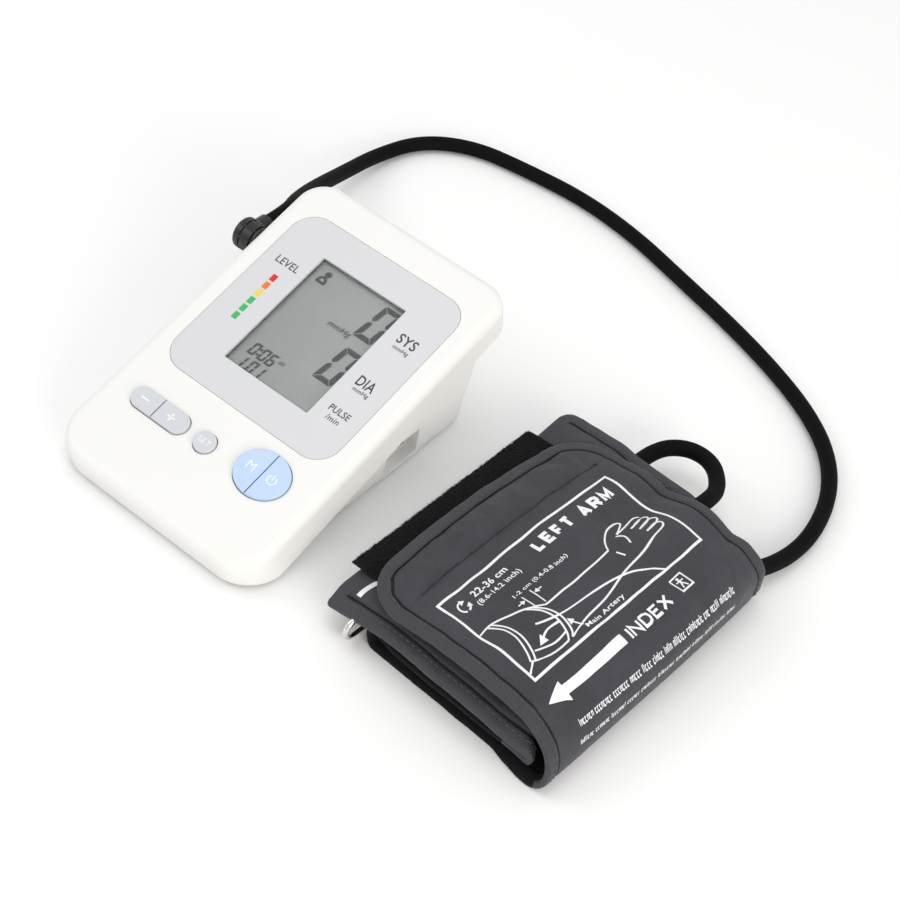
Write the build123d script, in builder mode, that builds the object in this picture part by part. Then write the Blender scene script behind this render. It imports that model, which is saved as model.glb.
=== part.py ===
from build123d import *
import math
import os

os.makedirs("parts", exist_ok=True)

# ---------------------------------------------------------------------------
# Driving dimensions, in millimetres. +X right, +Y back, +Z up, table at Z = 0.
# ---------------------------------------------------------------------------
FACE_TILT = 18.0  # slope of the monitor's face
FACE_Y, FACE_Z = 15.5, 45.0  # centre of the display panel
FACE_BACK, FACE_FRONT = 62.0, -99.5  # ends of the face, measured along its slope
CASE_W = 105.0
CASE_BACK_R, CASE_FRONT_R = 13.0, 17.0
WALL = 2.4
TOP_ROLL = 4.0  # rounding of the face's edge
SKIRT_BREAK_Y, SKIRT_BREAK_Z = -58.0, 1.5  # where the skirt's lower edge starts to rise
SKIRT_RISE = 0.36  # its rise per millimetre towards the back
LID_RECESS = 1.0  # lower shell's plate inside the skirt
FIT_GAP = 0.25

TUB_W = 94.0
TUB_FRONT_Y, TUB_BACK_Y = -68.0, 58.7
BASE_Z = 0.8  # underside of the lower shell, above its rubber feet
TUB_PLAN_R = 12.0

PANEL_W, PANEL_L, PANEL_T, PANEL_R = 86.0, 91.0, 1.2, 11.0
WINDOW_W, WINDOW_L = 43.7, 60.3
LCD_W, LCD_L, LCD_T = 50.0, 68.0, 2.2

KEY_RAISE = 1.5
KEY_TRAVEL = 0.6
KEY_GAP = 0.35
KEY_SPLIT = 0.4
KEY_FLANGE = 1.2
BIG_KEY_U, BIG_KEY_V, BIG_KEY_A, BIG_KEY_B = 26.8, -61.3, 12.0, 10.3
SET_KEY_U, SET_KEY_V, SET_KEY_R = -0.3, -64.2, 4.7
PILL_KEY_U, PILL_KEY_V, PILL_KEY_L, PILL_KEY_W = -24.0, -64.2, 28.6, 9.7
PILL_SPLIT_U = -25.0

BOARD_TOP, BOARD_T = -9.5, 1.6
BOARD_W, BOARD_FRONT, BOARD_BACK = 72.0, -84.0, 48.0
BOARD_NECK_W = 64.0  # narrower beside the display, clear of the air tube

SCREWS = [(-40.0, -61.0, 8.0), (40.0, -61.0, 8.0), (-41.0, 50.0, 30.0), (41.0, 50.0, 30.0)]
BOSS_R, SCREW_R, SCREW_HEAD_R = 3.2, 1.3, 2.5

BAY_X0, BAY_X1, BAY_Y0, BAY_Y1 = -41.0, 15.0, -19.0, 43.5
BAY_TOP, BAY_WALL = 18.6, 1.5
CELL_R, CELL_L, CELL_PITCH, CELL_Z = 7.1, 49.4, 15.4, 10.3
COVER_T, COVER_GAP = 1.8, 0.35
COVER_AXIS_Y, COVER_AXIS_Z, COVER_BARREL_R = -20.2, 2.0, 1.2

JACK_Y, JACK_Z = 25.0, 8.5

AIR_Y, AIR_Z = 40.5, 45.0  # axis of the air socket in the left wall
AIR_BORE_R, AIR_STEM_R = 2.55, 2.5
PUMP_Y, PUMP_Z, PUMP_R = 48.0, 31.0, 10.2

CUFF_TURN = -3.0  # the folded cuff lies turned a little on the table
CUFF_W, CUFF_MID = 135.0, 11.5  # its width and the middle of that width
CUFF_T = 4.0
TUBE_R = 3.5
RING_X, RING_Z_TOP, RING_Z_LOW, WIRE_R = 93.6, 11.6, 2.2, 1.2
RING_FRONT, RING_BACK = -60.0, 75.0

tilt = math.radians(FACE_TILT)
face = Plane(origin=(0, FACE_Y, FACE_Z), x_dir=(1, 0, 0), z_dir=(0, -math.sin(tilt), math.cos(tilt)))
turn = math.radians(CUFF_TURN)
cuff_x = Vector(math.cos(turn), math.sin(turn), 0)
cuff_y = Vector(-math.sin(turn), math.cos(turn), 0)
cuff_top = Plane(origin=(0, 0, 0), x_dir=cuff_x, z_dir=(0, 0, 1))
cuff_side = Plane(origin=cuff_y * CUFF_MID, x_dir=cuff_x, z_dir=cuff_y * -1)


def skirt_z(y):
    """Height of the skirt's lower edge at y."""
    return SKIRT_BREAK_Z + max(0.0, y - SKIRT_BREAK_Y) * SKIRT_RISE


def face_under_z(y):
    """Height of the underside of the face at y."""
    return FACE_Z + (y - FACE_Y) * math.tan(tilt) - WALL / math.cos(tilt)


def on_cuff(x, y, z):
    """World position of a point given in the cuff's own turned axes."""
    return cuff_top.from_local_coords(Vector(x, y, z))


def slab_outline(sketch, inset):
    """Rounded outline of the monitor seen square to its face."""
    with Locations((0, (FACE_BACK + FACE_FRONT) / 2)):
        Rectangle(CASE_W - 2 * inset, FACE_BACK - FACE_FRONT - 2 * inset)
    fillet(sketch.vertices().group_by(Axis.Y)[0], CASE_FRONT_R - inset)
    fillet(sketch.vertices().group_by(Axis.Y)[-1], CASE_BACK_R - inset)


def above_skirt(rise, mode=Mode.ADD):
    """Side view of everything above the skirt's lower edge raised by rise."""
    far_front, far_back, top = -120.0, 100.0, 110.0
    Polygon(
        (far_front, SKIRT_BREAK_Z + rise),
        (SKIRT_BREAK_Y, SKIRT_BREAK_Z + rise),
        (far_back, skirt_z(far_back) + rise),
        (far_back, top),
        (far_front, top),
        align=None,
        mode=mode,
    )


def big_key(grow):
    with Locations((BIG_KEY_U, BIG_KEY_V)):
        Ellipse(BIG_KEY_A + grow, BIG_KEY_B + grow)


def set_key_shape(grow):
    with Locations((SET_KEY_U, SET_KEY_V)):
        Circle(SET_KEY_R + grow)


def pill_key(grow):
    with Locations((PILL_KEY_U, PILL_KEY_V)):
        SlotOverall(PILL_KEY_L + 2 * grow, PILL_KEY_W + 2 * grow)


def keep_side(split_u, side):
    """Keep the half of a sketched key that lies left (-1) or right (+1) of its split."""
    reach = 60.0
    with Locations((split_u + side * (reach + KEY_SPLIT) / 2, PILL_KEY_V)):
        Rectangle(reach, reach, mode=Mode.INTERSECT)


# ---------------------------------------------------------------------------
# Casing
# ---------------------------------------------------------------------------
with BuildPart() as upper_shell:
    with BuildSketch(face) as slab:
        slab_outline(slab, 0)
    extrude(amount=-60)
    with BuildSketch(Plane.YZ):
        above_skirt(0)
    extrude(amount=CASE_W, both=True, mode=Mode.INTERSECT)
    face_axis = Axis(face.origin, face.z_dir)
    fillet(upper_shell.faces().sort_by(face_axis)[-1].edges(), TOP_ROLL)
    with BuildSketch(face.offset(-WALL)) as hollow:
        slab_outline(hollow, WALL)
    extrude(amount=-60, mode=Mode.SUBTRACT)
    for x, y, split_z in SCREWS:
        with BuildSketch(Plane.XY.offset(split_z + 0.1)):
            with Locations((x, y)):
                Circle(BOSS_R)
        extrude(amount=face_under_z(y) + 1.3 - split_z)
        with BuildSketch(Plane.XY.offset(split_z)):
            with Locations((x, y)):
                Circle(SCREW_R + 0.05)
        extrude(amount=8, mode=Mode.SUBTRACT)
    with BuildSketch(face):
        RectangleRounded(PANEL_W + 0.4, PANEL_L + 0.4, PANEL_R + 0.2)
    extrude(amount=-PANEL_T, mode=Mode.SUBTRACT)
    with BuildSketch(face):
        RectangleRounded(WINDOW_W + 4, WINDOW_L + 4, 2)
    extrude(amount=-2 * WALL, mode=Mode.SUBTRACT)
    with BuildSketch(face.offset(1)):
        big_key(KEY_GAP)
        set_key_shape(KEY_GAP)
        pill_key(KEY_GAP)
    extrude(amount=-2 * WALL, mode=Mode.SUBTRACT)
    with BuildSketch(Plane.YZ.offset(-CASE_W / 2 - 1)):
        with Locations((AIR_Y, AIR_Z)):
            Circle(5.0)
    extrude(amount=WALL + 2, mode=Mode.SUBTRACT)
upper_shell.part.label = "upper_shell"
export_step(upper_shell.part, "parts/upper_shell.step")

# Side view of the tub: flat base, back wall leaning outwards towards the slab.
back_wall = [(TUB_BACK_Y, BASE_Z), (60.3, 15), (66, 30), (72.5, 47)]

with BuildPart() as closing_plate:
    with BuildSketch(face) as plate_outline:
        slab_outline(plate_outline, WALL + FIT_GAP)
    extrude(amount=-60)
    with BuildSketch(Plane.YZ):
        above_skirt(LID_RECESS)
        above_skirt(LID_RECESS + WALL, mode=Mode.SUBTRACT)
    extrude(amount=CASE_W, both=True, mode=Mode.INTERSECT)

with BuildPart() as tub_core:
    with BuildSketch(Plane.YZ):
        with BuildLine():
            Polyline(
                (TUB_FRONT_Y + WALL, BASE_Z + WALL),
                (TUB_BACK_Y - WALL, BASE_Z + WALL),
                (60.3 - WALL, 15),
                (66 - WALL, 30),
                (72.5 - WALL, 47),
                (72.5 - WALL, 60),
                (TUB_FRONT_Y + WALL, 60),
                close=True,
            )
        make_face()
    extrude(amount=TUB_W / 2 - WALL, both=True)
    with BuildSketch(Plane.XY):
        with Locations((0, (TUB_FRONT_Y + 72.5) / 2)):
            RectangleRounded(TUB_W - 2 * WALL, 72.5 - TUB_FRONT_Y - 2 * WALL, TUB_PLAN_R - WALL)
    extrude(amount=80, mode=Mode.INTERSECT)

with BuildPart() as lower_shell:
    with BuildSketch(Plane.YZ):
        with BuildLine():
            Polyline(
                (TUB_FRONT_Y, BASE_Z),
                *back_wall,
                (72.5, skirt_z(72.5) + LID_RECESS + 1),
                (SKIRT_BREAK_Y, SKIRT_BREAK_Z + LID_RECESS + 1),
                (TUB_FRONT_Y, SKIRT_BREAK_Z + LID_RECESS + 1),
                close=True,
            )
        make_face()
    extrude(amount=TUB_W / 2, both=True)
    with BuildSketch(Plane.XY):
        with Locations((0, (TUB_FRONT_Y + 72.5) / 2)):
            RectangleRounded(TUB_W, 72.5 - TUB_FRONT_Y, TUB_PLAN_R)
    extrude(amount=80, mode=Mode.INTERSECT)
    fillet(lower_shell.faces().sort_by(Axis.Z)[0].edges(), 1.2)
    add(closing_plate.part)
    add(tub_core.part, mode=Mode.SUBTRACT)
    # Battery compartment, open through the base
    with BuildSketch(Plane.XY.offset(BASE_Z)):
        with Locations(((BAY_X0 + BAY_X1) / 2, (BAY_Y0 + BAY_Y1) / 2)):
            Rectangle(BAY_X1 - BAY_X0 + 2 * BAY_WALL, BAY_Y1 - BAY_Y0 + 2 * BAY_WALL)
    extrude(amount=BAY_TOP + BAY_WALL - BASE_Z)
    with BuildSketch(Plane.XY):
        with Locations(((BAY_X0 + BAY_X1) / 2, (BAY_Y0 + BAY_Y1) / 2)):
            Rectangle(BAY_X1 - BAY_X0, BAY_Y1 - BAY_Y0)
    extrude(amount=BAY_TOP, mode=Mode.SUBTRACT)
    # Notches for the hinge barrels of the battery cover
    with BuildSketch(Plane.XY):
        with Locations((BAY_X0 + 12, COVER_AXIS_Y), (BAY_X1 - 12, COVER_AXIS_Y)):
            Rectangle(9, 2 * (COVER_BARREL_R + 0.5) + 1.2)
    extrude(amount=COVER_AXIS_Z + COVER_BARREL_R + 0.3, mode=Mode.SUBTRACT)
    # Housing and scooped recess of the power jack in the right wall
    with BuildSketch(Plane.XY.offset(BASE_Z)):
        with Locations(((39.5 + TUB_W / 2) / 2, 19)):
            Rectangle(TUB_W / 2 - 39.5, 27)
    extrude(amount=16.5)
    with BuildSketch(Plane.XY.offset(3)):
        with BuildLine():
            Polyline((48, 7.5), (41.5, 19.5), (41.5, 30.5), (48, 30.5), close=True)
        make_face()
    extrude(amount=12.5, mode=Mode.SUBTRACT)
    with BuildSketch(Plane.YZ.offset(38)):
        with Locations((JACK_Y, JACK_Z)):
            Rectangle(9.2, 9.2)
    extrude(amount=6, mode=Mode.SUBTRACT)
    for x, y, split_z in SCREWS:
        with BuildSketch(Plane.XY.offset(BASE_Z)):
            with Locations((x, y)):
                Circle(BOSS_R)
        extrude(amount=split_z - BASE_Z)
        with BuildSketch(Plane.XY):
            with Locations((x, y)):
                Circle(SCREW_R + 0.05)
        extrude(amount=split_z, mode=Mode.SUBTRACT)
        with BuildSketch(Plane.XY):
            with Locations((x, y)):
                Circle(SCREW_HEAD_R + 0.1)
        extrude(amount=split_z - 4, mode=Mode.SUBTRACT)
    # Saddle under the air socket
    with BuildSketch(Plane.YZ.offset(-CASE_W / 2)):
        with Locations((AIR_Y, AIR_Z)):
            Circle(5.2)
    extrude(amount=10, mode=Mode.SUBTRACT)
lower_shell.part.label = "lower_shell"
export_step(lower_shell.part, "parts/lower_shell.step")

with BuildPart() as case_screws:
    for x, y, split_z in SCREWS:
        with BuildSketch(Plane.XY.offset(split_z - 6)):
            with Locations((x, y)):
                Circle(SCREW_HEAD_R)
        extrude(amount=2)
        with BuildSketch(Plane.XY.offset(split_z - 6)):
            with Locations((x, y)):
                Rectangle(3.2, 0.7)
                Rectangle(0.7, 3.2)
        extrude(amount=0.9, mode=Mode.SUBTRACT)
        with BuildSketch(Plane.XY.offset(split_z - 4)):
            with Locations((x, y)):
                Circle(SCREW_R)
        extrude(amount=10.5)
case_screws.part.label = "case_screws"
export_step(case_screws.part, "parts/case_screws.step")

with BuildPart() as rubber_feet:
    with BuildSketch(Plane.XY):
        with Locations((-34, -50), (34, -50), (-27, 51), (27, 51)):
            Circle(4.5)
    extrude(amount=BASE_Z)
    fillet(rubber_feet.faces().group_by(Axis.Z)[0].edges(), 0.3)
rubber_feet.part.label = "rubber_feet"
export_step(rubber_feet.part, "parts/rubber_feet.step")

# ---------------------------------------------------------------------------
# Display
# ---------------------------------------------------------------------------
with BuildPart() as display_panel:
    with BuildSketch(face.offset(-PANEL_T)):
        RectangleRounded(PANEL_W, PANEL_L, PANEL_R)
        RectangleRounded(WINDOW_W, WINDOW_L, 0.6, mode=Mode.SUBTRACT)
    extrude(amount=PANEL_T)
display_panel.part.label = "display_panel"
export_step(display_panel.part, "parts/display_panel.step")

with BuildPart() as window_lens:
    with BuildSketch(face.offset(-2.0)):
        RectangleRounded(WINDOW_W + 3.6, WINDOW_L + 3.6, 1.8)
    extrude(amount=0.8)
window_lens.part.label = "window_lens"
export_step(window_lens.part, "parts/window_lens.step")

with BuildPart() as lcd_glass:
    with BuildSketch(face.offset(-2.6 - LCD_T)):
        Rectangle(LCD_W, LCD_L)
    extrude(amount=LCD_T)
lcd_glass.part.label = "lcd_glass"
export_step(lcd_glass.part, "parts/lcd_glass.step")

with BuildPart() as lcd_holder:
    with BuildSketch(face.offset(BOARD_TOP)):
        RectangleRounded(LCD_W + 5, LCD_L + 5, 2)
        Rectangle(LCD_W + 0.4, LCD_L + 0.4, mode=Mode.SUBTRACT)
    extrude(amount=-BOARD_TOP - 2.5)
lcd_holder.part.label = "lcd_holder"
export_step(lcd_holder.part, "parts/lcd_holder.step")

with BuildPart() as zebra_strips:
    with BuildSketch(face.offset(BOARD_TOP)):
        with Locations((0, LCD_L / 2 - 2.5), (0, 2.5 - LCD_L / 2)):
            Rectangle(LCD_W - 4, 2.6)
    extrude(amount=-2.6 - LCD_T - BOARD_TOP)
zebra_strips.part.label = "zebra_strips"
export_step(zebra_strips.part, "parts/zebra_strips.step")

# ---------------------------------------------------------------------------
# Keys: each cap has a flange that keeps it under the shell and a stem over its switch
# ---------------------------------------------------------------------------
KEYS = {
    "key_minus": (pill_key, PILL_SPLIT_U, -1, (-31.5, PILL_KEY_V)),
    "key_plus": (pill_key, PILL_SPLIT_U, 1, (-17.0, PILL_KEY_V)),
    "key_set": (set_key_shape, None, 0, (SET_KEY_U, SET_KEY_V)),
    "key_memory": (big_key, BIG_KEY_U, -1, (21.2, BIG_KEY_V)),
    "key_start": (big_key, BIG_KEY_U, 1, (32.0, BIG_KEY_V)),
}
FLANGE_TOP, FLANGE_T = -WALL - 0.2, 0.9
STEM_END = -4.5
SWITCH_TOP = STEM_END - KEY_TRAVEL - 0.1

for key_name, (outline, split_u, side, stem) in KEYS.items():
    with BuildPart() as key:
        with BuildSketch(face.offset(FLANGE_TOP)):
            outline(0)
            if side:
                keep_side(split_u, side)
        extrude(amount=KEY_RAISE - FLANGE_TOP)
        fillet(key.faces().sort_by(face_axis)[-1].edges(), 0.5)
        with BuildSketch(face.offset(FLANGE_TOP - FLANGE_T)):
            outline(KEY_FLANGE)
            if side:
                keep_side(split_u, side)
        extrude(amount=FLANGE_T)
        with BuildSketch(face.offset(STEM_END)):
            with Locations(stem):
                Circle(1.8)
        extrude(amount=FLANGE_TOP - STEM_END - 0.2)
    key.part.label = key_name
    export_step(key.part, f"parts/{key_name}.step")

# ---------------------------------------------------------------------------
# Circuit board and what is soldered to it
# ---------------------------------------------------------------------------
with BuildPart() as main_board:
    with BuildSketch(face.offset(BOARD_TOP - BOARD_T)):
        with Locations((0, (BOARD_FRONT - 42) / 2)):
            Rectangle(BOARD_W, -42 - BOARD_FRONT)
        with Locations((0, (BOARD_FRONT + BOARD_BACK) / 2)):
            Rectangle(BOARD_NECK_W, BOARD_BACK - BOARD_FRONT)
    extrude(amount=BOARD_T)
main_board.part.label = "main_board"
export_step(main_board.part, "parts/main_board.step")

with BuildPart() as tact_switches:
    stems = [key_data[3] for key_data in KEYS.values()]
    with BuildSketch(face.offset(BOARD_TOP)):
        with Locations(*stems):
            Rectangle(6, 6)
    extrude(amount=3.4)
    with BuildSketch(face.offset(BOARD_TOP + 3.4)):
        with Locations(*stems):
            Circle(1.75)
    extrude(amount=SWITCH_TOP - BOARD_TOP - 3.4)
tact_switches.part.label = "tact_switches"
export_step(tact_switches.part, "parts/tact_switches.step")

with BuildPart() as controller_chips:
    with BuildSketch(face.offset(BOARD_TOP)):
        with Locations((-4, -6)):
            Rectangle(14, 14)
        with Locations((12, 12)):
            Rectangle(6, 5)
        with Locations((-16, 14)):
            Rectangle(5, 4)
    extrude(amount=1.4)
controller_chips.part.label = "controller_chips"
export_step(controller_chips.part, "parts/controller_chips.step")

with BuildPart() as buzzer:
    with BuildSketch(face.offset(BOARD_TOP - BOARD_T - 5)):
        with Locations((24, -34)):
            Circle(6)
    extrude(amount=5)
    with BuildSketch(face.offset(BOARD_TOP - BOARD_T - 5)):
        with Locations((24, -34)):
            Circle(1)
    extrude(amount=1.5, mode=Mode.SUBTRACT)
buzzer.part.label = "buzzer"
export_step(buzzer.part, "parts/buzzer.step")

SENSOR_X, SENSOR_Y = -27.0, 39.0
sensor_v = (SENSOR_Y - FACE_Y) / math.cos(tilt) - 4.5
with BuildPart() as pressure_sensor:
    with BuildSketch(face.offset(BOARD_TOP - BOARD_T - 3.2)):
        with Locations((SENSOR_X, sensor_v)):
            Rectangle(8, 8)
    extrude(amount=3.2)
    with BuildSketch(Plane.XY.offset(34.4)):
        with Locations((SENSOR_X, SENSOR_Y)):
            Circle(1.4)
    extrude(amount=4.6)
pressure_sensor.part.label = "pressure_sensor"
export_step(pressure_sensor.part, "parts/pressure_sensor.step")

# ---------------------------------------------------------------------------
# Pump, valve and the air path inside the case
# ---------------------------------------------------------------------------
MOTOR_X0, MOTOR_X1 = -3.0, 26.0
HEAD_X0, HEAD_X1 = -21.0, -3.0
with BuildPart() as pump_motor:
    with BuildSketch(Plane.YZ.offset(MOTOR_X0)):
        with Locations((PUMP_Y, PUMP_Z)):
            Circle(PUMP_R)
    extrude(amount=MOTOR_X1 - MOTOR_X0)
    fillet(pump_motor.faces().sort_by(Axis.X)[-1].edges(), 1.5)
    with BuildSketch(Plane.YZ.offset(MOTOR_X1)):
        with Locations((PUMP_Y, PUMP_Z)):
            Circle(3)
    extrude(amount=2)
    with BuildSketch(Plane.YZ.offset(MOTOR_X0)):
        with Locations((PUMP_Y, PUMP_Z)):
            Circle(1.05)
    extrude(amount=10, mode=Mode.SUBTRACT)
pump_motor.part.label = "pump_motor"
export_step(pump_motor.part, "parts/pump_motor.step")

with BuildPart() as pump_head:
    with BuildSketch(Plane.YZ.offset(HEAD_X0)):
        with Locations((PUMP_Y, PUMP_Z)):
            Circle(PUMP_R)
    extrude(amount=HEAD_X1 - HEAD_X0)
    with BuildSketch(Plane.YZ.offset(HEAD_X0 + 5)):
        with Locations((PUMP_Y, PUMP_Z)):
            Circle(PUMP_R - 1.6)
    extrude(amount=HEAD_X1 - HEAD_X0 - 5, mode=Mode.SUBTRACT)
    with BuildSketch(Plane.YZ.offset(HEAD_X0 - 4)):
        with Locations((44, PUMP_Z)):
            Circle(1.8)
    extrude(amount=4)
pump_head.part.label = "pump_head"
export_step(pump_head.part, "parts/pump_head.step")

with BuildPart() as pump_rotor:
    with BuildSketch(Plane.YZ.offset(MOTOR_X0 - 9)):
        with Locations((PUMP_Y, PUMP_Z)):
            Circle(1)
    extrude(amount=18)
    with BuildSketch(Plane.YZ.offset(MOTOR_X0 - 8)):
        with Locations((PUMP_Y, PUMP_Z)):
            Circle(3)
        with Locations((PUMP_Y, PUMP_Z - 2)):
            Circle(4)
    extrude(amount=5)
pump_rotor.part.label = "pump_rotor"
export_step(pump_rotor.part, "parts/pump_rotor.step")

MANIFOLD_X0, MANIFOLD_X1 = -43.0, -34.0
MANIFOLD_Y0, MANIFOLD_Y1 = 35.0, 46.4
MANIFOLD_TOP = 35.0
with BuildPart() as air_manifold:
    with BuildSketch(Plane.XY.offset(27)):
        with Locations(((MANIFOLD_X0 + MANIFOLD_X1) / 2, (MANIFOLD_Y0 + MANIFOLD_Y1) / 2)):
            Rectangle(MANIFOLD_X1 - MANIFOLD_X0, MANIFOLD_Y1 - MANIFOLD_Y0)
    extrude(amount=MANIFOLD_TOP - 27)
    fillet(air_manifold.edges().filter_by(Axis.Z), 1)
    with BuildSketch(Plane.XY.offset(MANIFOLD_TOP)):
        with Locations((-38.5, AIR_Y)):
            Circle(1.8)
    extrude(amount=2)
    with BuildSketch(Plane.YZ.offset(MANIFOLD_X1)):
        with Locations((44, PUMP_Z)):
            Circle(1.8)
    extrude(amount=3)
    with BuildSketch(Plane.YZ.offset(MANIFOLD_X1)):
        with Locations((SENSOR_Y, PUMP_Z)):
            Circle(1.4)
    extrude(amount=2)
air_manifold.part.label = "air_manifold"
export_step(air_manifold.part, "parts/air_manifold.step")

VALVE_X, VALVE_R, VALVE_Y0 = -38.0, 5.8, 17.0
with BuildPart() as exhaust_valve:
    with BuildSketch(Plane.XZ.offset(-MANIFOLD_Y0)):
        with Locations((VALVE_X, PUMP_Z)):
            Circle(VALVE_R)
    extrude(amount=MANIFOLD_Y0 - VALVE_Y0)
    with BuildSketch(Plane.XZ.offset(-VALVE_Y0 - 10)):
        with Locations((VALVE_X, PUMP_Z)):
            Circle(1.55)
    extrude(amount=10, mode=Mode.SUBTRACT)
exhaust_valve.part.label = "exhaust_valve"
export_step(exhaust_valve.part, "parts/exhaust_valve.step")

with BuildPart() as valve_plunger:
    with BuildSketch(Plane.XZ.offset(-VALVE_Y0 - 8)):
        with Locations((VALVE_X, PUMP_Z)):
            Circle(1.5)
    extrude(amount=9.5)
    with BuildSketch(Plane.XZ.offset(-VALVE_Y0 + 1)):
        with Locations((VALVE_X, PUMP_Z)):
            Circle(2.6)
    extrude(amount=1)
valve_plunger.part.label = "valve_plunger"
export_step(valve_plunger.part, "parts/valve_plunger.step")

with BuildPart() as inner_tubes:
    # Pump to manifold
    with BuildSketch(Plane.YZ.offset(MANIFOLD_X1 + 3)):
        with Locations((44, PUMP_Z)):
            Circle(2.2)
    extrude(amount=HEAD_X0 - 4 - MANIFOLD_X1 - 3)
    # Manifold up to the air socket
    with BuildLine() as riser:
        FilletPolyline((-38.5, AIR_Y, MANIFOLD_TOP + 2), (-38.5, AIR_Y, AIR_Z), (-43.5, AIR_Y, AIR_Z), radius=4.5)
    with BuildSketch(Plane(origin=riser.line @ 0, z_dir=riser.line % 0)):
        Circle(2.2)
    sweep(path=riser.line)
    # Manifold to the pressure sensor
    with BuildLine() as branch:
        FilletPolyline(
            (MANIFOLD_X1 + 2, SENSOR_Y, PUMP_Z),
            (SENSOR_X, SENSOR_Y, PUMP_Z),
            (SENSOR_X, SENSOR_Y, 34.4),
            radius=3.0,
        )
    with BuildSketch(Plane(origin=branch.line @ 0, z_dir=branch.line % 0)):
        Circle(1.8)
    sweep(path=branch.line)
inner_tubes.part.label = "inner_tubes"
export_step(inner_tubes.part, "parts/inner_tubes.step")

with BuildPart() as air_socket:
    with BuildSketch(Plane.YZ.offset(-CASE_W / 2 - 0.6)):
        with Locations((AIR_Y, AIR_Z)):
            Circle(4.9)
    extrude(amount=8.0)
    with BuildSketch(Plane.YZ.offset(-CASE_W / 2 - 1.4)):
        with Locations((AIR_Y, AIR_Z)):
            Circle(6.2)
    extrude(amount=1.3)
    with BuildSketch(Plane.YZ.offset(-CASE_W / 2 + 7.4)):
        with Locations((AIR_Y, AIR_Z)):
            Circle(2.0)
    extrude(amount=-43.5 + CASE_W / 2 - 7.4)
    with BuildSketch(Plane.YZ.offset(-CASE_W / 2 - 1.4)):
        with Locations((AIR_Y, AIR_Z)):
            Circle(AIR_BORE_R)
    extrude(amount=7.4, mode=Mode.SUBTRACT)
air_socket.part.label = "air_socket"
export_step(air_socket.part, "parts/air_socket.step")

# ---------------------------------------------------------------------------
# Power
# ---------------------------------------------------------------------------
cell_rows = [BAY_Y0 + 8.1 + CELL_PITCH * row for row in range(4)]
cell_mid_x = (BAY_X0 + BAY_X1) / 2

with BuildPart() as batteries:
    for row, y in enumerate(cell_rows):
        direction = 1 if row % 2 else -1
        with BuildSketch(Plane.YZ.offset(cell_mid_x - CELL_L / 2)):
            with Locations((y, CELL_Z)):
                Circle(CELL_R)
        extrude(amount=CELL_L)
        with BuildSketch(Plane.YZ.offset(cell_mid_x + direction * CELL_L / 2)):
            with Locations((y, CELL_Z)):
                Circle(2.7)
        extrude(amount=direction * 1.0)
batteries.part.label = "batteries"
export_step(batteries.part, "parts/batteries.step")

with BuildPart() as battery_contacts:
    for x in (BAY_X0 + 0.25, BAY_X1 - 0.25):
        for y in cell_rows:
            with Locations((x, y, CELL_Z)):
                Box(0.5, 11, 11)
battery_contacts.part.label = "battery_contacts"
export_step(battery_contacts.part, "parts/battery_contacts.step")

SPRING_WIRE_R, SPRING_R = 0.35, 2.8
with BuildPart() as battery_springs:
    for row, y in enumerate(cell_rows):
        direction = 1 if row % 2 else -1
        wall_x = BAY_X0 + 0.5 if direction > 0 else BAY_X1 - 0.5
        room = cell_mid_x - direction * CELL_L / 2 - wall_x
        start = Vector(wall_x + direction * SPRING_WIRE_R, y, CELL_Z)
        with BuildLine() as coil:
            Helix(
                pitch=(abs(room) - 2 * SPRING_WIRE_R) / 2,
                height=abs(room) - 2 * SPRING_WIRE_R,
                radius=SPRING_R,
                center=start,
                direction=(direction, 0, 0),
            )
        with BuildSketch(Plane(origin=coil.line @ 0, z_dir=coil.line % 0)):
            Circle(SPRING_WIRE_R)
        sweep(path=coil.line, is_frenet=True)
battery_springs.part.label = "battery_springs"
export_step(battery_springs.part, "parts/battery_springs.step")

with BuildPart() as battery_cover:
    with BuildSketch(Plane.XY.offset(BASE_Z)):
        with BuildLine():
            Polyline(
                (BAY_X0 + COVER_GAP, COVER_AXIS_Y + 1.8),
                (BAY_X1 - COVER_GAP, COVER_AXIS_Y + 1.8),
                (BAY_X1 - COVER_GAP, BAY_Y1 - COVER_GAP),
                (BAY_X0 + COVER_GAP, BAY_Y1 - COVER_GAP),
                close=True,
            )
        make_face()
    extrude(amount=COVER_T)
    # Grip ribs beside the latch
    with BuildSketch(Plane.XY.offset(BASE_Z)):
        with GridLocations(0, 2.4, 1, 5):
            with Locations((cell_mid_x, BAY_Y1 - 9)):
                Rectangle(16, 1.0)
    extrude(amount=0.5, mode=Mode.SUBTRACT)
    # Hinge barrels and the webs that carry them
    for x in (BAY_X0 + 12, BAY_X1 - 12):
        with BuildSketch(Plane.YZ.offset(x - 4)):
            with Locations((COVER_AXIS_Y, COVER_AXIS_Z)):
                Circle(COVER_BARREL_R)
        extrude(amount=8)
        with Locations((x, COVER_AXIS_Y + 1.2, COVER_AXIS_Z - 0.1)):
            Box(8, 2.4, 1.4)
battery_cover.part.label = "battery_cover"
export_step(battery_cover.part, "parts/battery_cover.step")

with BuildPart() as dc_jack:
    with Locations((35.5, JACK_Y, JACK_Z)):
        Box(11.5, 9, 9)
    with BuildSketch(Plane.YZ.offset(32)):
        with Locations((JACK_Y, JACK_Z)):
            Circle(2.8)
            Circle(1.0, mode=Mode.SUBTRACT)
    extrude(amount=9.25, mode=Mode.SUBTRACT)
dc_jack.part.label = "dc_jack"
export_step(dc_jack.part, "parts/dc_jack.step")

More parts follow.
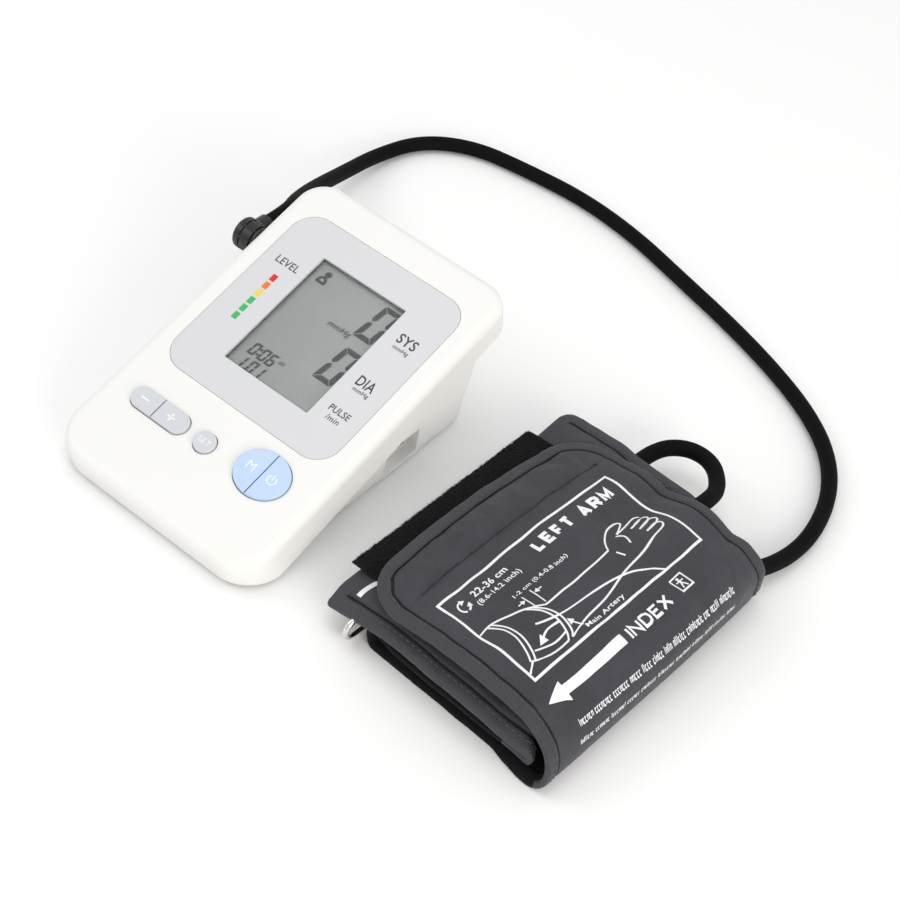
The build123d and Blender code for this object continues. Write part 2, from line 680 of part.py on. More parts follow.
# ---------------------------------------------------------------------------
# Air plug: ribbed head outside the case, stem in the socket
# ---------------------------------------------------------------------------
PLUG_FACE_X = -CASE_W / 2 - 1.7
PLUG_HEAD_L, PLUG_HEAD_R = 9.0, 7.0
PLUG_OUTLET_X, PLUG_OUTLET_L = PLUG_FACE_X - 4.8, 11.0
with BuildPart() as air_plug:
    with BuildSketch(Plane.YZ.offset(PLUG_FACE_X - PLUG_HEAD_L)):
        with Locations((AIR_Y, AIR_Z)):
            Circle(PLUG_HEAD_R)
    extrude(amount=PLUG_HEAD_L)
    fillet(air_plug.faces().sort_by(Axis.X)[0].edges(), 2.0)
    # Groove round the head and finger flutes along it
    with BuildSketch(Plane.YZ.offset(PLUG_FACE_X - 5.2)):
        with Locations((AIR_Y, AIR_Z)):
            Circle(PLUG_HEAD_R + 1)
            Circle(PLUG_HEAD_R - 0.5, mode=Mode.SUBTRACT)
    extrude(amount=0.8, mode=Mode.SUBTRACT)
    with BuildSketch(Plane.YZ.offset(PLUG_FACE_X - PLUG_HEAD_L)):
        with Locations((AIR_Y, AIR_Z)):
            with PolarLocations(PLUG_HEAD_R + 0.3, 8, start_angle=22.5):
                Circle(0.8)
    extrude(amount=PLUG_HEAD_L, mode=Mode.SUBTRACT)
    # Outlet towards the back, where the tube is pushed on
    with BuildSketch(Plane.XZ.offset(-AIR_Y)):
        with Locations((PLUG_OUTLET_X, AIR_Z)):
            Circle(TUBE_R + 0.9)
    extrude(amount=-PLUG_OUTLET_L)
    with BuildSketch(Plane.YZ.offset(PLUG_FACE_X)):
        with Locations((AIR_Y, AIR_Z)):
            Circle(AIR_STEM_R)
    extrude(amount=7.0)
air_plug.part.label = "air_plug"
export_step(air_plug.part, "parts/air_plug.step")
TUBE_START = (PLUG_OUTLET_X, AIR_Y + PLUG_OUTLET_L, AIR_Z)

# ---------------------------------------------------------------------------
# Cuff: one strip folded flat, drawn from the side and stretched over its width
# ---------------------------------------------------------------------------
# Middle line of the strip: top flap, outer fold, bottom layer, left fold, lower leaf,
# inner fold and the upper leaf that ends over the metal ring.
strip_line = [
    ((88.0, 22.6), None),
    ((118.0, 25.4), 60),
    ((150.0, 28.8), 60),
    ((176.0, 28.8), 9),
    ((186.6, 19.5), 8),
    ((186.6, 2.3), 6),
    ((99.5, 2.3), 3.55),
    ((99.5, 9.5), 3.55),
    ((169.0, 9.5), 3.9),
    ((169.0, 17.4), 3.9),
    ((112.0, 17.4), 40),
    ((80.0, 14.9), None),
]
strip_points = [point for point, _ in strip_line]
strip_radii = [radius for _, radius in strip_line if radius is not None]

bladder_line = [(104.0, 9.5), (169.0, 9.5), (169.0, 17.4), (116.0, 17.4)]
bladder_radii = [3.9, 3.9]
BLADDER_T, BLADDER_MARGIN = 1.4, 9.0
FLAP_END_Z, FLAP_CORNER_R = 20.0, 20.0

with BuildPart() as cuff_cover:
    with BuildSketch(cuff_side):
        with BuildLine(mode=Mode.PRIVATE) as strip:
            FilletPolyline(*strip_points, radius=strip_radii)
        trace(strip.line, CUFF_T)
    extrude(amount=CUFF_W / 2, both=True)
    flap_end = cuff_cover.edges().filter_by(Axis.Z, tolerance=8).sort_by(Axis(cuff_top.origin, cuff_x))
    fillet([edge for edge in flap_end if edge.center().Z > FLAP_END_Z], FLAP_CORNER_R)
    with BuildSketch(cuff_side):
        with BuildLine(mode=Mode.PRIVATE) as pocket:
            FilletPolyline(*bladder_line, radius=bladder_radii)
        trace(pocket.line, BLADDER_T + 0.4)
    extrude(amount=CUFF_W / 2 - BLADDER_MARGIN + 1, both=True, mode=Mode.SUBTRACT)
cuff_cover.part.label = "cuff_cover"
export_step(cuff_cover.part, "parts/cuff_cover.step")

with BuildPart() as bladder:
    with BuildSketch(cuff_side):
        trace(pocket.line, BLADDER_T)
    extrude(amount=CUFF_W / 2 - BLADDER_MARGIN, both=True)
bladder.part.label = "bladder"
export_step(bladder.part, "parts/bladder.step")

with BuildPart() as hook_strip:
    with BuildSketch(cuff_side):
        Polygon((77.0, 16.9), (104.0, 18.95), (104.0, 20.75), (77.0, 18.7), align=None)
    extrude(amount=52, both=True)
hook_strip.part.label = "hook_strip"
export_step(hook_strip.part, "parts/hook_strip.step")

with BuildPart() as loop_pad:
    with BuildSketch(cuff_side):
        Polygon((106, 4.4), (170, 4.4), (170, 5.4), (106, 5.4), align=None)
    extrude(amount=CUFF_W / 2 - 2, both=True)
loop_pad.part.label = "loop_pad"
export_step(loop_pad.part, "parts/loop_pad.step")

# Metal ring hanging by its upper bar from a fabric sleeve under the strip's end
ring_half = (RING_Z_TOP - RING_Z_LOW) / 2
ring_mid_z = (RING_Z_TOP + RING_Z_LOW) / 2
ring_ends = {RING_FRONT + ring_half: ring_half, RING_BACK - ring_half: -ring_half}
with BuildPart() as cuff_ring:
    front_end = on_cuff(RING_X, RING_FRONT + ring_half, ring_mid_z)
    with BuildSketch(Plane(origin=front_end, x_dir=cuff_x, z_dir=cuff_y)):
        with Locations((0, ring_half), (0, -ring_half)):
            Circle(WIRE_R)
    extrude(amount=RING_BACK - RING_FRONT - 2 * ring_half)
    for end_y, start_height in ring_ends.items():
        end_centre = on_cuff(RING_X, end_y, ring_mid_z)
        with BuildSketch(Plane(origin=end_centre, x_dir=cuff_x, z_dir=cuff_y)):
            with Locations((0, -start_height)):
                Circle(WIRE_R)
        revolve(axis=Axis(end_centre, cuff_x), revolution_arc=180)
cuff_ring.part.label = "cuff_ring"
export_step(cuff_ring.part, "parts/cuff_ring.step")

with BuildPart() as ring_sleeve:
    with BuildSketch(Plane(origin=on_cuff(RING_X, (RING_FRONT + RING_BACK) / 2, RING_Z_TOP), x_dir=cuff_x, z_dir=cuff_y)):
        Circle(WIRE_R + 1.1)
        Circle(WIRE_R + 0.08, mode=Mode.SUBTRACT)
    extrude(amount=58, both=True)
ring_sleeve.part.label = "ring_sleeve"
export_step(ring_sleeve.part, "parts/ring_sleeve.step")

# ---------------------------------------------------------------------------
# Air tube: from the plug down to the table, round behind the case, into the cuff's
# outer fold, back over itself under the flap, and round a small loop to its port
# ---------------------------------------------------------------------------
outside_route = [
    TUBE_START,
    (-59.0, 65.0, 45.0),
    (-68.5, 82.0, 36.5),
    (-78.5, 107.0, 24.5),
    (-87.0, 138.0, 12.0),
    (-91.5, 170.0, 4.4),
    (-85.0, 197.5, 3.6),
    (-64.0, 214.5, 3.6),
    (-36.0, 219.5, 3.6),
    (-4.0, 223.0, 3.6),
    (30.0, 219.0, 3.6),
    (64.0, 209.0, 3.6),
    (97.0, 199.5, 3.6),
    (127.0, 188.5, 3.6),
    (152.5, 176.0, 3.6),
    (172.5, 160.0, 3.6),
    (185.5, 139.0, 3.6),
    (191.5, 114.0, 3.6),
    (190.5, 92.5, 4.2),
]
fold_route = [
    (180.2, 80.0, 8.8),
    (180.0, 63.0, 12.0),
    (176.7, 50.5, 19.6),
    (165.8, 44.0, 23.1),
    (156.0, 47.0, 23.1),
    (151.5, 58.0, 23.1),
    (151.0, 72.0, 23.1),
    (151.6, 85.0, 22.6),
    (151.2, 99.0, 19.5),
    (143.0, 112.0, 16.8),
    (128.0, 114.0, 15.0),
    (116.0, 102.5, 13.5),
    (116.0, 88.5, 13.5),
]
route = [Vector(*point) for point in outside_route] + [on_cuff(*point) for point in fold_route]


def route_radii(points):
    """Largest tangent arc that fits each corner of a free cord's route."""
    radii = []
    for before, corner, after in zip(points, points[1:], points[2:]):
        run_in, run_out = corner - before, after - corner
        half_turn = math.radians(run_in.get_angle(run_out)) / 2
        radii.append(0.45 * min(run_in.length, run_out.length) / math.tan(half_turn))
    return radii


tube_radii = route_radii(route)
print("air tube corner radii:", [round(radius, 1) for radius in tube_radii])

with BuildPart() as air_tube:
    with BuildLine() as tube_path:
        FilletPolyline(*route, radius=tube_radii)
    with BuildSketch(Plane(origin=tube_path.line @ 0, z_dir=tube_path.line % 0)):
        Circle(TUBE_R)
    sweep(path=tube_path.line)
air_tube.part.label = "air_tube"
export_step(air_tube.part, "parts/air_tube.step")
tube_length = tube_path.wires()[0].length
print("air tube length:", round(tube_length, 1))
section_length = math.pi * TUBE_R**2 * tube_length
print("air tube volume against section times length:", round(air_tube.part.volume / section_length, 4))

# Nozzle welded to the bladder: round where the tube ends, flat between the leaves
PORT_X, PORT_Z = fold_route[-1][0], fold_route[-1][2]
port_start = on_cuff(PORT_X, fold_route[-1][1], PORT_Z)
port_waist = on_cuff(PORT_X, fold_route[-1][1] - 10, PORT_Z)
with BuildPart() as tube_port:
    with BuildSketch(Plane(origin=port_start, x_dir=cuff_x, z_dir=cuff_y * -1)):
        Circle(TUBE_R + 0.7)
    with BuildSketch(Plane(origin=port_waist, x_dir=cuff_x, z_dir=cuff_y * -1)):
        Ellipse(7.0, 1.7)
    loft()
    with BuildSketch(Plane(origin=port_waist, x_dir=cuff_x, z_dir=cuff_y * -1)):
        Ellipse(7.0, 1.7)
    extrude(amount=14)
tube_port.part.label = "tube_port"
export_step(tube_port.part, "parts/tube_port.step")
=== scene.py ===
import random
from math import copysign, cos, exp, floor, pi, radians, sin, tan

import bmesh
import bpy
from mathutils import Matrix, Vector, noise


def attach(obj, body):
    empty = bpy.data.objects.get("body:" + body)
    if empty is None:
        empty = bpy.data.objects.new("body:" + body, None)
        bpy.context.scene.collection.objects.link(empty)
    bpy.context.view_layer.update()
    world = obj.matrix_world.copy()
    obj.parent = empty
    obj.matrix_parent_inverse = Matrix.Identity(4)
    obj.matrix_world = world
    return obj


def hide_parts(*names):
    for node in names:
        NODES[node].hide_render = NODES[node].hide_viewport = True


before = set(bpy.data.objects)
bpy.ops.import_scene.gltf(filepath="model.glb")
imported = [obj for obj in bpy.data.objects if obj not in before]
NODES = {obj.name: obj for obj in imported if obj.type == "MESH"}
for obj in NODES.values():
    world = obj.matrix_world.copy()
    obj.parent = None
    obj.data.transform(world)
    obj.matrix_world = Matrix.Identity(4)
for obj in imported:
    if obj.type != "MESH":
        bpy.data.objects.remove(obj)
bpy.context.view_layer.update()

MM = 0.001


def added(name, data):
    """A new object that holds the data, linked to the scene."""
    thing = bpy.data.objects.new(name, data)
    bpy.context.scene.collection.objects.link(thing)
    return thing


# --- Camera and the two working frames: the sloping face, and the turned cuff ---
CAMERA_PLACE = (0.31118, -0.40967, 0.51860)
camera_data = bpy.data.cameras.new("camera")
camera_data.lens = 71.0
camera_data.sensor_width = 36.0
camera_data.clip_start = 0.01
camera = added("camera", camera_data)
view_forward = Vector((-0.34806, 0.61699, -0.70582)).normalized()
view_right = Vector((0.77576, 0.61228, 0.15267))
view_right = (view_right - view_forward * view_right.dot(view_forward)).normalized()
view_up = view_right.cross(view_forward)
view_axes = Matrix((view_right, view_up, -view_forward)).transposed().to_4x4()
camera.matrix_world = Matrix.Translation(CAMERA_PLACE) @ view_axes
bpy.context.scene.camera = camera

FACE_TILT = radians(18.0)
FACE_CENTRE = Vector((0, 15.5, 45.0))
face_v = Vector((0, cos(FACE_TILT), sin(FACE_TILT)))
face_n = Vector((0, -sin(FACE_TILT), cos(FACE_TILT)))
CUFF_TURN = radians(-3.0)
cuff_x = Vector((cos(CUFF_TURN), sin(CUFF_TURN), 0))
cuff_y = Vector((-sin(CUFF_TURN), cos(CUFF_TURN), 0))


def on_face(u, v, height):
    """Metres, from millimetres across, up and out of the monitor's face."""
    return (FACE_CENTRE + Vector((u, 0, 0)) + face_v * v + face_n * height) * MM


def on_cuff(x, y, z):
    """Metres, from millimetres along, across and above the folded cuff."""
    return (cuff_x * x + cuff_y * y + Vector((0, 0, z))) * MM


# --- Node material helpers ---
class Look:
    """A Principled material with short calls for the nodes behind it."""

    def __init__(self, name, **sockets):
        self.material = bpy.data.materials.new(name)
        self.material.use_nodes = True
        self.tree = self.material.node_tree
        self.shader = self.tree.nodes["Principled BSDF"]
        for socket, value in sockets.items():
            self.shader.inputs[socket.replace("_", " ")].default_value = value
        self.place = self.add("ShaderNodeTexCoord").outputs["Object"]

    def add(self, kind, inputs=None, **props):
        node = self.tree.nodes.new(kind)
        for key, value in props.items():
            setattr(node, key, value)
        for key, value in (inputs or {}).items():
            if isinstance(value, bpy.types.NodeSocket):
                self.tree.links.new(value, node.inputs[key])
            else:
                node.inputs[key].default_value = value
        return node

    def noise(self, scale, detail=3.0, rough=0.5):
        inputs = {"Scale": scale, "Detail": detail, "Roughness": rough, "Vector": self.place}
        return self.add("ShaderNodeTexNoise", inputs).outputs["Fac"]

    def math(self, operation, a, b=0.0):
        return self.add("ShaderNodeMath", {0: a, 1: b}, operation=operation).outputs[0]

    def feed(self, socket, source):
        self.tree.links.new(source, self.shader.inputs[socket])

    def color(self, factor, dark, light):
        """Base colour between two colours."""
        node = self.add("ShaderNodeMix", {"Factor": factor}, data_type="RGBA")
        node.inputs[6].default_value = (*dark, 1)
        node.inputs[7].default_value = (*light, 1)
        self.feed("Base Color", node.outputs[2])

    def shade(self, factor, color, low, high):
        """Base colour between two shares of one colour."""
        self.color(factor, [c * low for c in color], [min(1.0, c * high) for c in color])

    def gloss(self, factor, low, high):
        """Roughness between two values."""
        inputs = {"Value": factor, "To Min": low, "To Max": high}
        self.feed("Roughness", self.add("ShaderNodeMapRange", inputs).outputs["Result"])

    def bump(self, height, strength, distance):
        inputs = {"Height": height, "Strength": strength, "Distance": distance}
        node = self.add("ShaderNodeBump", inputs)
        previous = self.shader.inputs["Normal"].links
        if previous:
            self.tree.links.new(previous[0].from_socket, node.inputs["Normal"])
        self.feed("Normal", node.outputs["Normal"])


def speckled(name, color, shares, tone, gloss, grain, **sockets):
    """Tone between two shares of a colour, roughness and bump: for each its noise and its range."""
    look = Look(name, **sockets)
    look.shade(look.noise(*tone), color, *shares)
    look.gloss(look.noise(*gloss[0]), *gloss[1])
    look.bump(look.noise(*grain[0]), *grain[1])
    return look


def moulded(name, color, rough, grain=2600.0, depth=0.00002, spread=0.03, **sockets):
    """Moulded plastic: faint colour drift, fine spark-eroded grain, uneven gloss."""
    return speckled(name, color, (1 - spread, 1 + spread), (35.0, 2.0),
                    ((240.0, 4.0), (rough - 0.05, rough + 0.06)), ((grain, 2.0), (0.25, depth)), **sockets)


def metal(name, color, rough):
    """Bright metal with fine uneven scratches."""
    return speckled(name, color, (0.9, 1.0), (120.0,), ((900.0, 5.0, 0.7), (rough * 0.7, rough * 1.5)),
                    ((1800.0,), (0.1, 0.00001)), Metallic=1.0)


def ink(name, color, rough=0.55):
    return speckled(name, color, (0.93, 1.0), (700.0,), ((400.0,), (rough - 0.05, rough + 0.05)),
                    ((3000.0,), (0.2, 0.00002)))


def woven(name, color, pitch, depth=0.00005, mottle_and_shade=0.12):
    """Plain weave drawn in the strip's own coordinates, with slight mottling and soft creases. A strong
    mottle is painted shade as well as random tone: it stands in for the soft shading of puffed cloth.
    """
    look = Look(name, Sheen_Weight=0.06, Sheen_Roughness=0.5, Specular_IOR_Level=0.3)
    uv = look.add("ShaderNodeUVMap", uv_map="strip").outputs["UV"]
    parts = look.add("ShaderNodeSeparateXYZ", {"Vector": uv})
    turns = 2 * pi / pitch
    warp, weft = [look.math("SINE", look.math("MULTIPLY", parts.outputs[axis], turns)) for axis in "XY"]
    blotch = look.noise(55.0, 4.0, 0.6)
    fine = look.noise(1500.0, 2.0, 0.6)
    tone = look.math("ADD", look.math("MULTIPLY", blotch, 0.7), look.math("MULTIPLY", fine, 0.3))
    look.shade(tone, color, 1 - mottle_and_shade, 1 + mottle_and_shade)
    look.gloss(blotch, 0.50, 0.62)
    look.bump(look.noise(95.0, 3.0, 0.45), 0.75, 0.0024)
    look.bump(look.math("MULTIPLY", warp, weft), 0.55, depth)
    look.bump(look.noise(2400.0), 0.3, depth)
    return look


def napped(name, color):
    """Brushed loop pile or hook tape, nearly black, with a soft sheen."""
    look = Look(name, Sheen_Weight=0.05, Sheen_Roughness=0.6, Roughness=0.95, Specular_IOR_Level=0.06)
    curls = look.add("ShaderNodeTexVoronoi", {"Scale": 1100.0, "Vector": look.place}).outputs["Distance"]
    tufts = look.noise(420.0, 5.0, 0.7)
    look.shade(tufts, color, 0.55, 1.7)
    look.bump(curls, 0.9, 0.0004)
    look.bump(tufts, 0.8, 0.0005)
    return look


def dress(names, look):
    """Gives a look to the CAD nodes named."""
    for name in names.split():
        materials = NODES[name].data.materials
        materials.clear()
        materials.append(look.material)


dress("upper_shell lower_shell battery_cover",
      moulded("case_plastic", (0.80, 0.797, 0.775), 0.40, spread=0.012))
dress("display_panel",
      moulded("panel_film", (0.615, 0.62, 0.64), 0.34, grain=3600.0, spread=0.012, Coat_Weight=0.1))
dress("key_minus key_plus key_set",
      moulded("key_grey_plastic", (0.57, 0.59, 0.63), 0.36, spread=0.02, Coat_Weight=0.15))
dress("key_memory key_start",
      moulded("key_blue_plastic", (0.47, 0.61, 0.83), 0.34, spread=0.02, Coat_Weight=0.2))
dress("lcd_holder", moulded("holder_plastic", (0.55, 0.56, 0.54), 0.5))
dress("tact_switches controller_chips buzzer pressure_sensor air_socket dc_jack",
      moulded("black_plastic", (0.022, 0.022, 0.024), 0.42, spread=0.2))
dress("air_plug", moulded("plug_plastic", (0.012, 0.012, 0.014), 0.3, spread=0.2, Specular_IOR_Level=0.45))
dress("pump_head air_manifold", moulded("cream_plastic", (0.66, 0.63, 0.52), 0.45))
dress("rubber_feet", moulded("foot_rubber", (0.55, 0.55, 0.53), 0.8, grain=1500.0, depth=0.00006))
dress("inner_tubes", moulded("inner_silicone", (0.62, 0.62, 0.57), 0.45, Subsurface_Weight=0.2))
dress("bladder", moulded("bladder_film", (0.42, 0.40, 0.36), 0.35, grain=700.0, depth=0.0001))
dress("zebra_strips", moulded("zebra_rubber", (0.55, 0.34, 0.34), 0.6))
dress("main_board", moulded("board_mask", (0.02, 0.16, 0.06), 0.3, grain=900.0, spread=0.15, Coat_Weight=0.4))
dress("batteries", moulded("cell_wrap", (0.03, 0.09, 0.08), 0.25, spread=0.1, Coat_Weight=0.6))
dress("case_screws pump_motor exhaust_valve pump_rotor", metal("plated_steel", (0.62, 0.62, 0.63), 0.28))
dress("battery_contacts battery_springs", metal("nickel_plate", (0.66, 0.64, 0.60), 0.2))
dress("valve_plunger", metal("brass", (0.60, 0.42, 0.16), 0.28))
dress("cuff_ring", metal("ring_chrome", (0.78, 0.76, 0.73), 0.12))

# The cuff nylon's strong mottle is painted shade: random blotches of light and dark that stand in for the
# shading of the puffed fabric
fabric_look = woven("cuff_nylon", (0.0400, 0.0383, 0.0480), 0.0009, mottle_and_shade=0.6)
binding_look = woven("binding_tape", (0.043, 0.041, 0.050), 0.0013, depth=0.00012)
# Painted shadow: a near-black weave for the binding's seam groove and the flap's seam stitches, standing in
# for the shade in the groove
seam_shadow_look = woven("seam_shadow", (0.010, 0.010, 0.012), 0.0013)
hook_look = napped("hook_tape", (0.0045, 0.0045, 0.0047))
loop_look = napped("loop_pile", (0.0060, 0.0060, 0.0063))

# Webbing drawn in space, because the sleeve has no strip coordinates
webbing_look = Look("sleeve_webbing", Specular_IOR_Level=0.22)
webbing_look.shade(webbing_look.noise(300.0, 4.0), (0.038, 0.036, 0.044), 0.8, 1.2)
webbing_look.gloss(webbing_look.noise(200.0), 0.6, 0.75)
bands = webbing_look.add(
    "ShaderNodeTexWave", {"Scale": 320.0, "Distortion": 0.5, "Vector": webbing_look.place},
    bands_direction="DIAGONAL")
webbing_look.bump(bands.outputs["Fac"], 0.6, 0.0001)
dress("ring_sleeve", webbing_look)

tube_look = Look("tube_rubber", Specular_IOR_Level=0.07)
tube_look.color(tube_look.noise(90.0, 4.0), (0.0026, 0.0026, 0.0028), (0.0046, 0.0046, 0.0050))
tube_look.gloss(tube_look.noise(500.0, 4.0), 0.6, 0.75)
tube_look.bump(tube_look.noise(1800.0), 0.25, 0.00005)
dress("tube_port", tube_look)

lens_look = Look("lens_clear", Transmission_Weight=1.0, Roughness=0.02, IOR=1.1)
lens_look.color(lens_look.noise(60.0), (0.97, 0.98, 0.98), (1.0, 1.0, 1.0))
dress("window_lens", lens_look)

lcd_look = Look("lcd_cell", Coat_Weight=0.5, Coat_Roughness=0.12)
lcd_look.color(lcd_look.noise(16.0, 2.0), (0.300, 0.316, 0.312), (0.345, 0.362, 0.357))
lcd_look.gloss(lcd_look.noise(800.0), 0.25, 0.35)
lcd_look.bump(lcd_look.noise(5000.0), 0.1, 0.00001)
dress("lcd_glass", lcd_look)

white_ink = ink("white_ink", (0.84, 0.85, 0.87))
segment_ink = ink("segment_ink", (0.070, 0.072, 0.080), 0.35)
shadow_ink = ink("segment_shadow", (0.20, 0.225, 0.215), 0.35)
dark_ink = ink("dark_ink", (0.045, 0.045, 0.055))
red_ink = ink("red_ink", (0.66, 0.012, 0.018))
orange_ink = ink("orange_ink", (0.82, 0.17, 0.02))
yellow_ink = ink("yellow_ink", (0.80, 0.62, 0.05))
green_ink = ink("green_ink", (0.03, 0.46, 0.10))
thread_look = ink("sewing_thread", (0.068, 0.065, 0.078), 0.7)


# --- Mesh helpers ---
def new_object(name, points, faces, looks, body, face_looks=None, smooth=True):
    mesh = bpy.data.meshes.new(name)
    mesh.from_pydata([tuple(point) for point in points], [], faces)
    for look in looks:
        mesh.materials.append(look.material)
    if face_looks:
        mesh.polygons.foreach_set("material_index", face_looks)
    mesh.polygons.foreach_set("use_smooth", [smooth] * len(mesh.polygons))
    mesh.update()
    piece = added(name, mesh)
    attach(piece, body)
    return piece


# Block letters: a width and the strokes that cross a box one unit high
LETTERS = {
    "A": (0.78, [[(0, 0), (0.5, 1), (1, 0)], [(0.2, 0.3), (0.8, 0.3)]]),
    "D": (0.68, [[(0, 1), (0, 0), (0.55, 0), (0.9, 0.15), (1, 0.5), (0.9, 0.85), (0.55, 1), (0, 1)]]),
    "E": (0.58, [[(1, 1), (0, 1), (0, 0), (1, 0)], [(0, 0.5), (0.85, 0.5)]]),
    "F": (0.56, [[(1, 1), (0, 1), (0, 0)], [(0, 0.47), (0.85, 0.47)]]),
    "I": (0.0, [[(0, 0), (0, 1)]]),
    "L": (0.54, [[(0, 1), (0, 0), (1, 0)]]),
    "M": (0.80, [[(0, 0), (0, 1), (0.5, 0.2), (1, 1), (1, 0)]]),
    "N": (0.70, [[(0, 0), (0, 1), (1, 0), (1, 1)]]),
    "R": (0.66, [[(0, 0), (0, 1), (0.6, 1), (0.95, 0.9), (1, 0.72), (0.95, 0.55), (0.6, 0.45), (0, 0.45)],
                 [(0.5, 0.45), (1, 0)]]),
    "T": (0.64, [[(0, 1), (1, 1)], [(0.5, 1), (0.5, 0)]]),
    "X": (0.66, [[(0, 0), (1, 1)], [(0, 1), (1, 0)]]),
    " ": (0.10, []),
}


DISC_SIDES = 20
FLOW_STEPS = 5


class Drawing:
    """Flat figures in two dimensions, in millimetres, collected as points and faces."""

    def __init__(self):
        self.points, self.faces, self.looks = [], [], []

    def polygon(self, corners, look=0):
        start = len(self.points)
        self.points += [Vector(corner) for corner in corners]
        self.faces.append(list(range(start, start + len(corners))))
        self.looks.append(look)

    def stroke(self, line, width, closed=False):
        """A ribbon of constant width along a line, mitred at its corners."""
        line = [Vector(point) for point in line]
        count = len(line)
        sides = []
        for i, point in enumerate(line):
            before = line[i - 1] if i or closed else None
            after = line[(i + 1) % count] if i < count - 1 or closed else None
            into = (point - before).normalized() if before is not None else (after - point).normalized()
            out = (after - point).normalized() if after is not None else into
            normal = Vector((-into.y - out.y, into.x + out.x)).normalized()
            reach = width / 2 / max(0.5, normal.dot(Vector((-into.y, into.x))))
            sides.append((point + normal * reach, point - normal * reach))
        for i in range(count if closed else count - 1):
            a, b = sides[i], sides[(i + 1) % count]
            self.polygon([a[0], a[1], b[1], b[0]])

    def text(self, words, centre, width, height, bold=0.0, slant=0.0):
        """Plain lettering stretched to fill a width and a height about its centre."""
        curve = bpy.data.curves.new("words", "FONT")
        curve.body = words
        curve.offset = bold
        curve.resolution_u = 3
        curve.space_character = 1.06
        carrier = bpy.data.objects.new("words", curve)
        mesh = bpy.data.meshes.new_from_object(carrier)
        flat = [Vector((v.co.x + slant * v.co.y, v.co.y)) for v in mesh.vertices]
        low = Vector((min(p.x for p in flat), min(p.y for p in flat)))
        high = Vector((max(p.x for p in flat), max(p.y for p in flat)))
        start = len(self.points)
        for p in flat:
            x = ((p.x - low.x) / (high.x - low.x) - 0.5) * width
            y = ((p.y - low.y) / (high.y - low.y) - 0.5) * height
            self.points.append(Vector((x, y)) + Vector(centre))
        for polygon in mesh.polygons:
            self.faces.append([start + i for i in polygon.vertices])
            self.looks.append(0)
        bpy.data.objects.remove(carrier)
        bpy.data.curves.remove(curve)
        bpy.data.meshes.remove(mesh)

    def block(self, words, centre, width, height, weight):
        """Even-stroked block lettering that fills a width about its centre."""
        unit = height - weight
        pitch = weight * 1.8
        stretch = (width - pitch * len(words)) / sum(LETTERS[letter][0] for letter in words)
        x = (weight - width) / 2
        for letter in words:
            wide, lines = LETTERS[letter]
            for line in lines:
                self.stroke([(centre[0] + (x + a * wide * stretch), centre[1] + (b - 0.5) * unit)
                             for a, b in line], weight)
            x += wide * stretch + pitch

    def disc(self, centre, radius):
        turns = [2 * pi * i / DISC_SIDES for i in range(DISC_SIDES)]
        self.polygon([(centre[0] + radius * cos(t), centre[1] + radius * sin(t)) for t in turns])

    def build(self, name, place, looks, body, finest=0.0, thick=0.04):
        """A thin closed print: place maps a flat point and a height to metres."""
        flat = bmesh.new()
        vertices = [flat.verts.new((p.x, p.y, 0)) for p in self.points]
        for corners, look in zip(self.faces, self.looks):
            face = flat.faces.new([vertices[i] for i in corners])
            face.material_index = look
        bmesh.ops.remove_doubles(flat, verts=flat.verts, dist=0.0005)
        bmesh.ops.recalc_face_normals(flat, faces=flat.faces)
        if finest:
            bmesh.ops.triangulate(flat, faces=flat.faces)
            for _ in range(5):
                long_edges = [edge for edge in flat.edges if edge.calc_length() > finest]
                if not long_edges:
                    break
                bmesh.ops.subdivide_edges(flat, edges=long_edges, cuts=1)
                bmesh.ops.triangulate(flat, faces=flat.faces)
        for face in flat.faces:
            if face.normal.z < 0:
                face.normal_flip()
        flat.verts.index_update()
        count = len(flat.verts)
        points = [place(v.co.x, v.co.y, height) for height in (thick, 0.0) for v in flat.verts]
        faces = [[v.index for v in face.verts] for face in flat.faces]
        face_looks = [face.material_index for face in flat.faces]
        faces += [[v.index + count for v in reversed(face.verts)] for face in flat.faces]
        face_looks *= 2
        for edge in flat.edges:
            if len(edge.link_faces) == 1:
                loop = edge.link_loops[0]
                a, b = loop.vert.index, loop.link_loop_next.vert.index
                faces.append([b, a, a + count, b + count])
                face_looks.append(edge.link_faces[0].material_index)
        flat.free()
        return new_object(name, points, faces, looks, body, face_looks, smooth=False)


def flowing(*spots):
    """Points on a smooth line through the spots."""
    spots = [Vector(spot) for spot in spots]
    line = []
    for i in range(len(spots) - 1):
        a, b, c, d = spots[max(i - 1, 0)], spots[i], spots[i + 1], spots[min(i + 2, len(spots) - 1)]
        for k in range(FLOW_STEPS):
            t = k / FLOW_STEPS
            line.append(0.5 * (2 * b + (c - a) * t + (2 * a - 5 * b + 4 * c - d) * t**2
                               + (3 * b - a - 3 * c + d) * t**3))
    return line + [spots[-1]]


def arc(centre, radius, start, end, steps, stretch=1.0):
    """Points on an arc; angles in degrees, stretch along the second axis."""
    turns = [radians(start + (end - start) * i / steps) for i in range(steps + 1)]
    return [(centre[0] + radius * cos(t), centre[1] + radius * stretch * sin(t)) for t in turns]


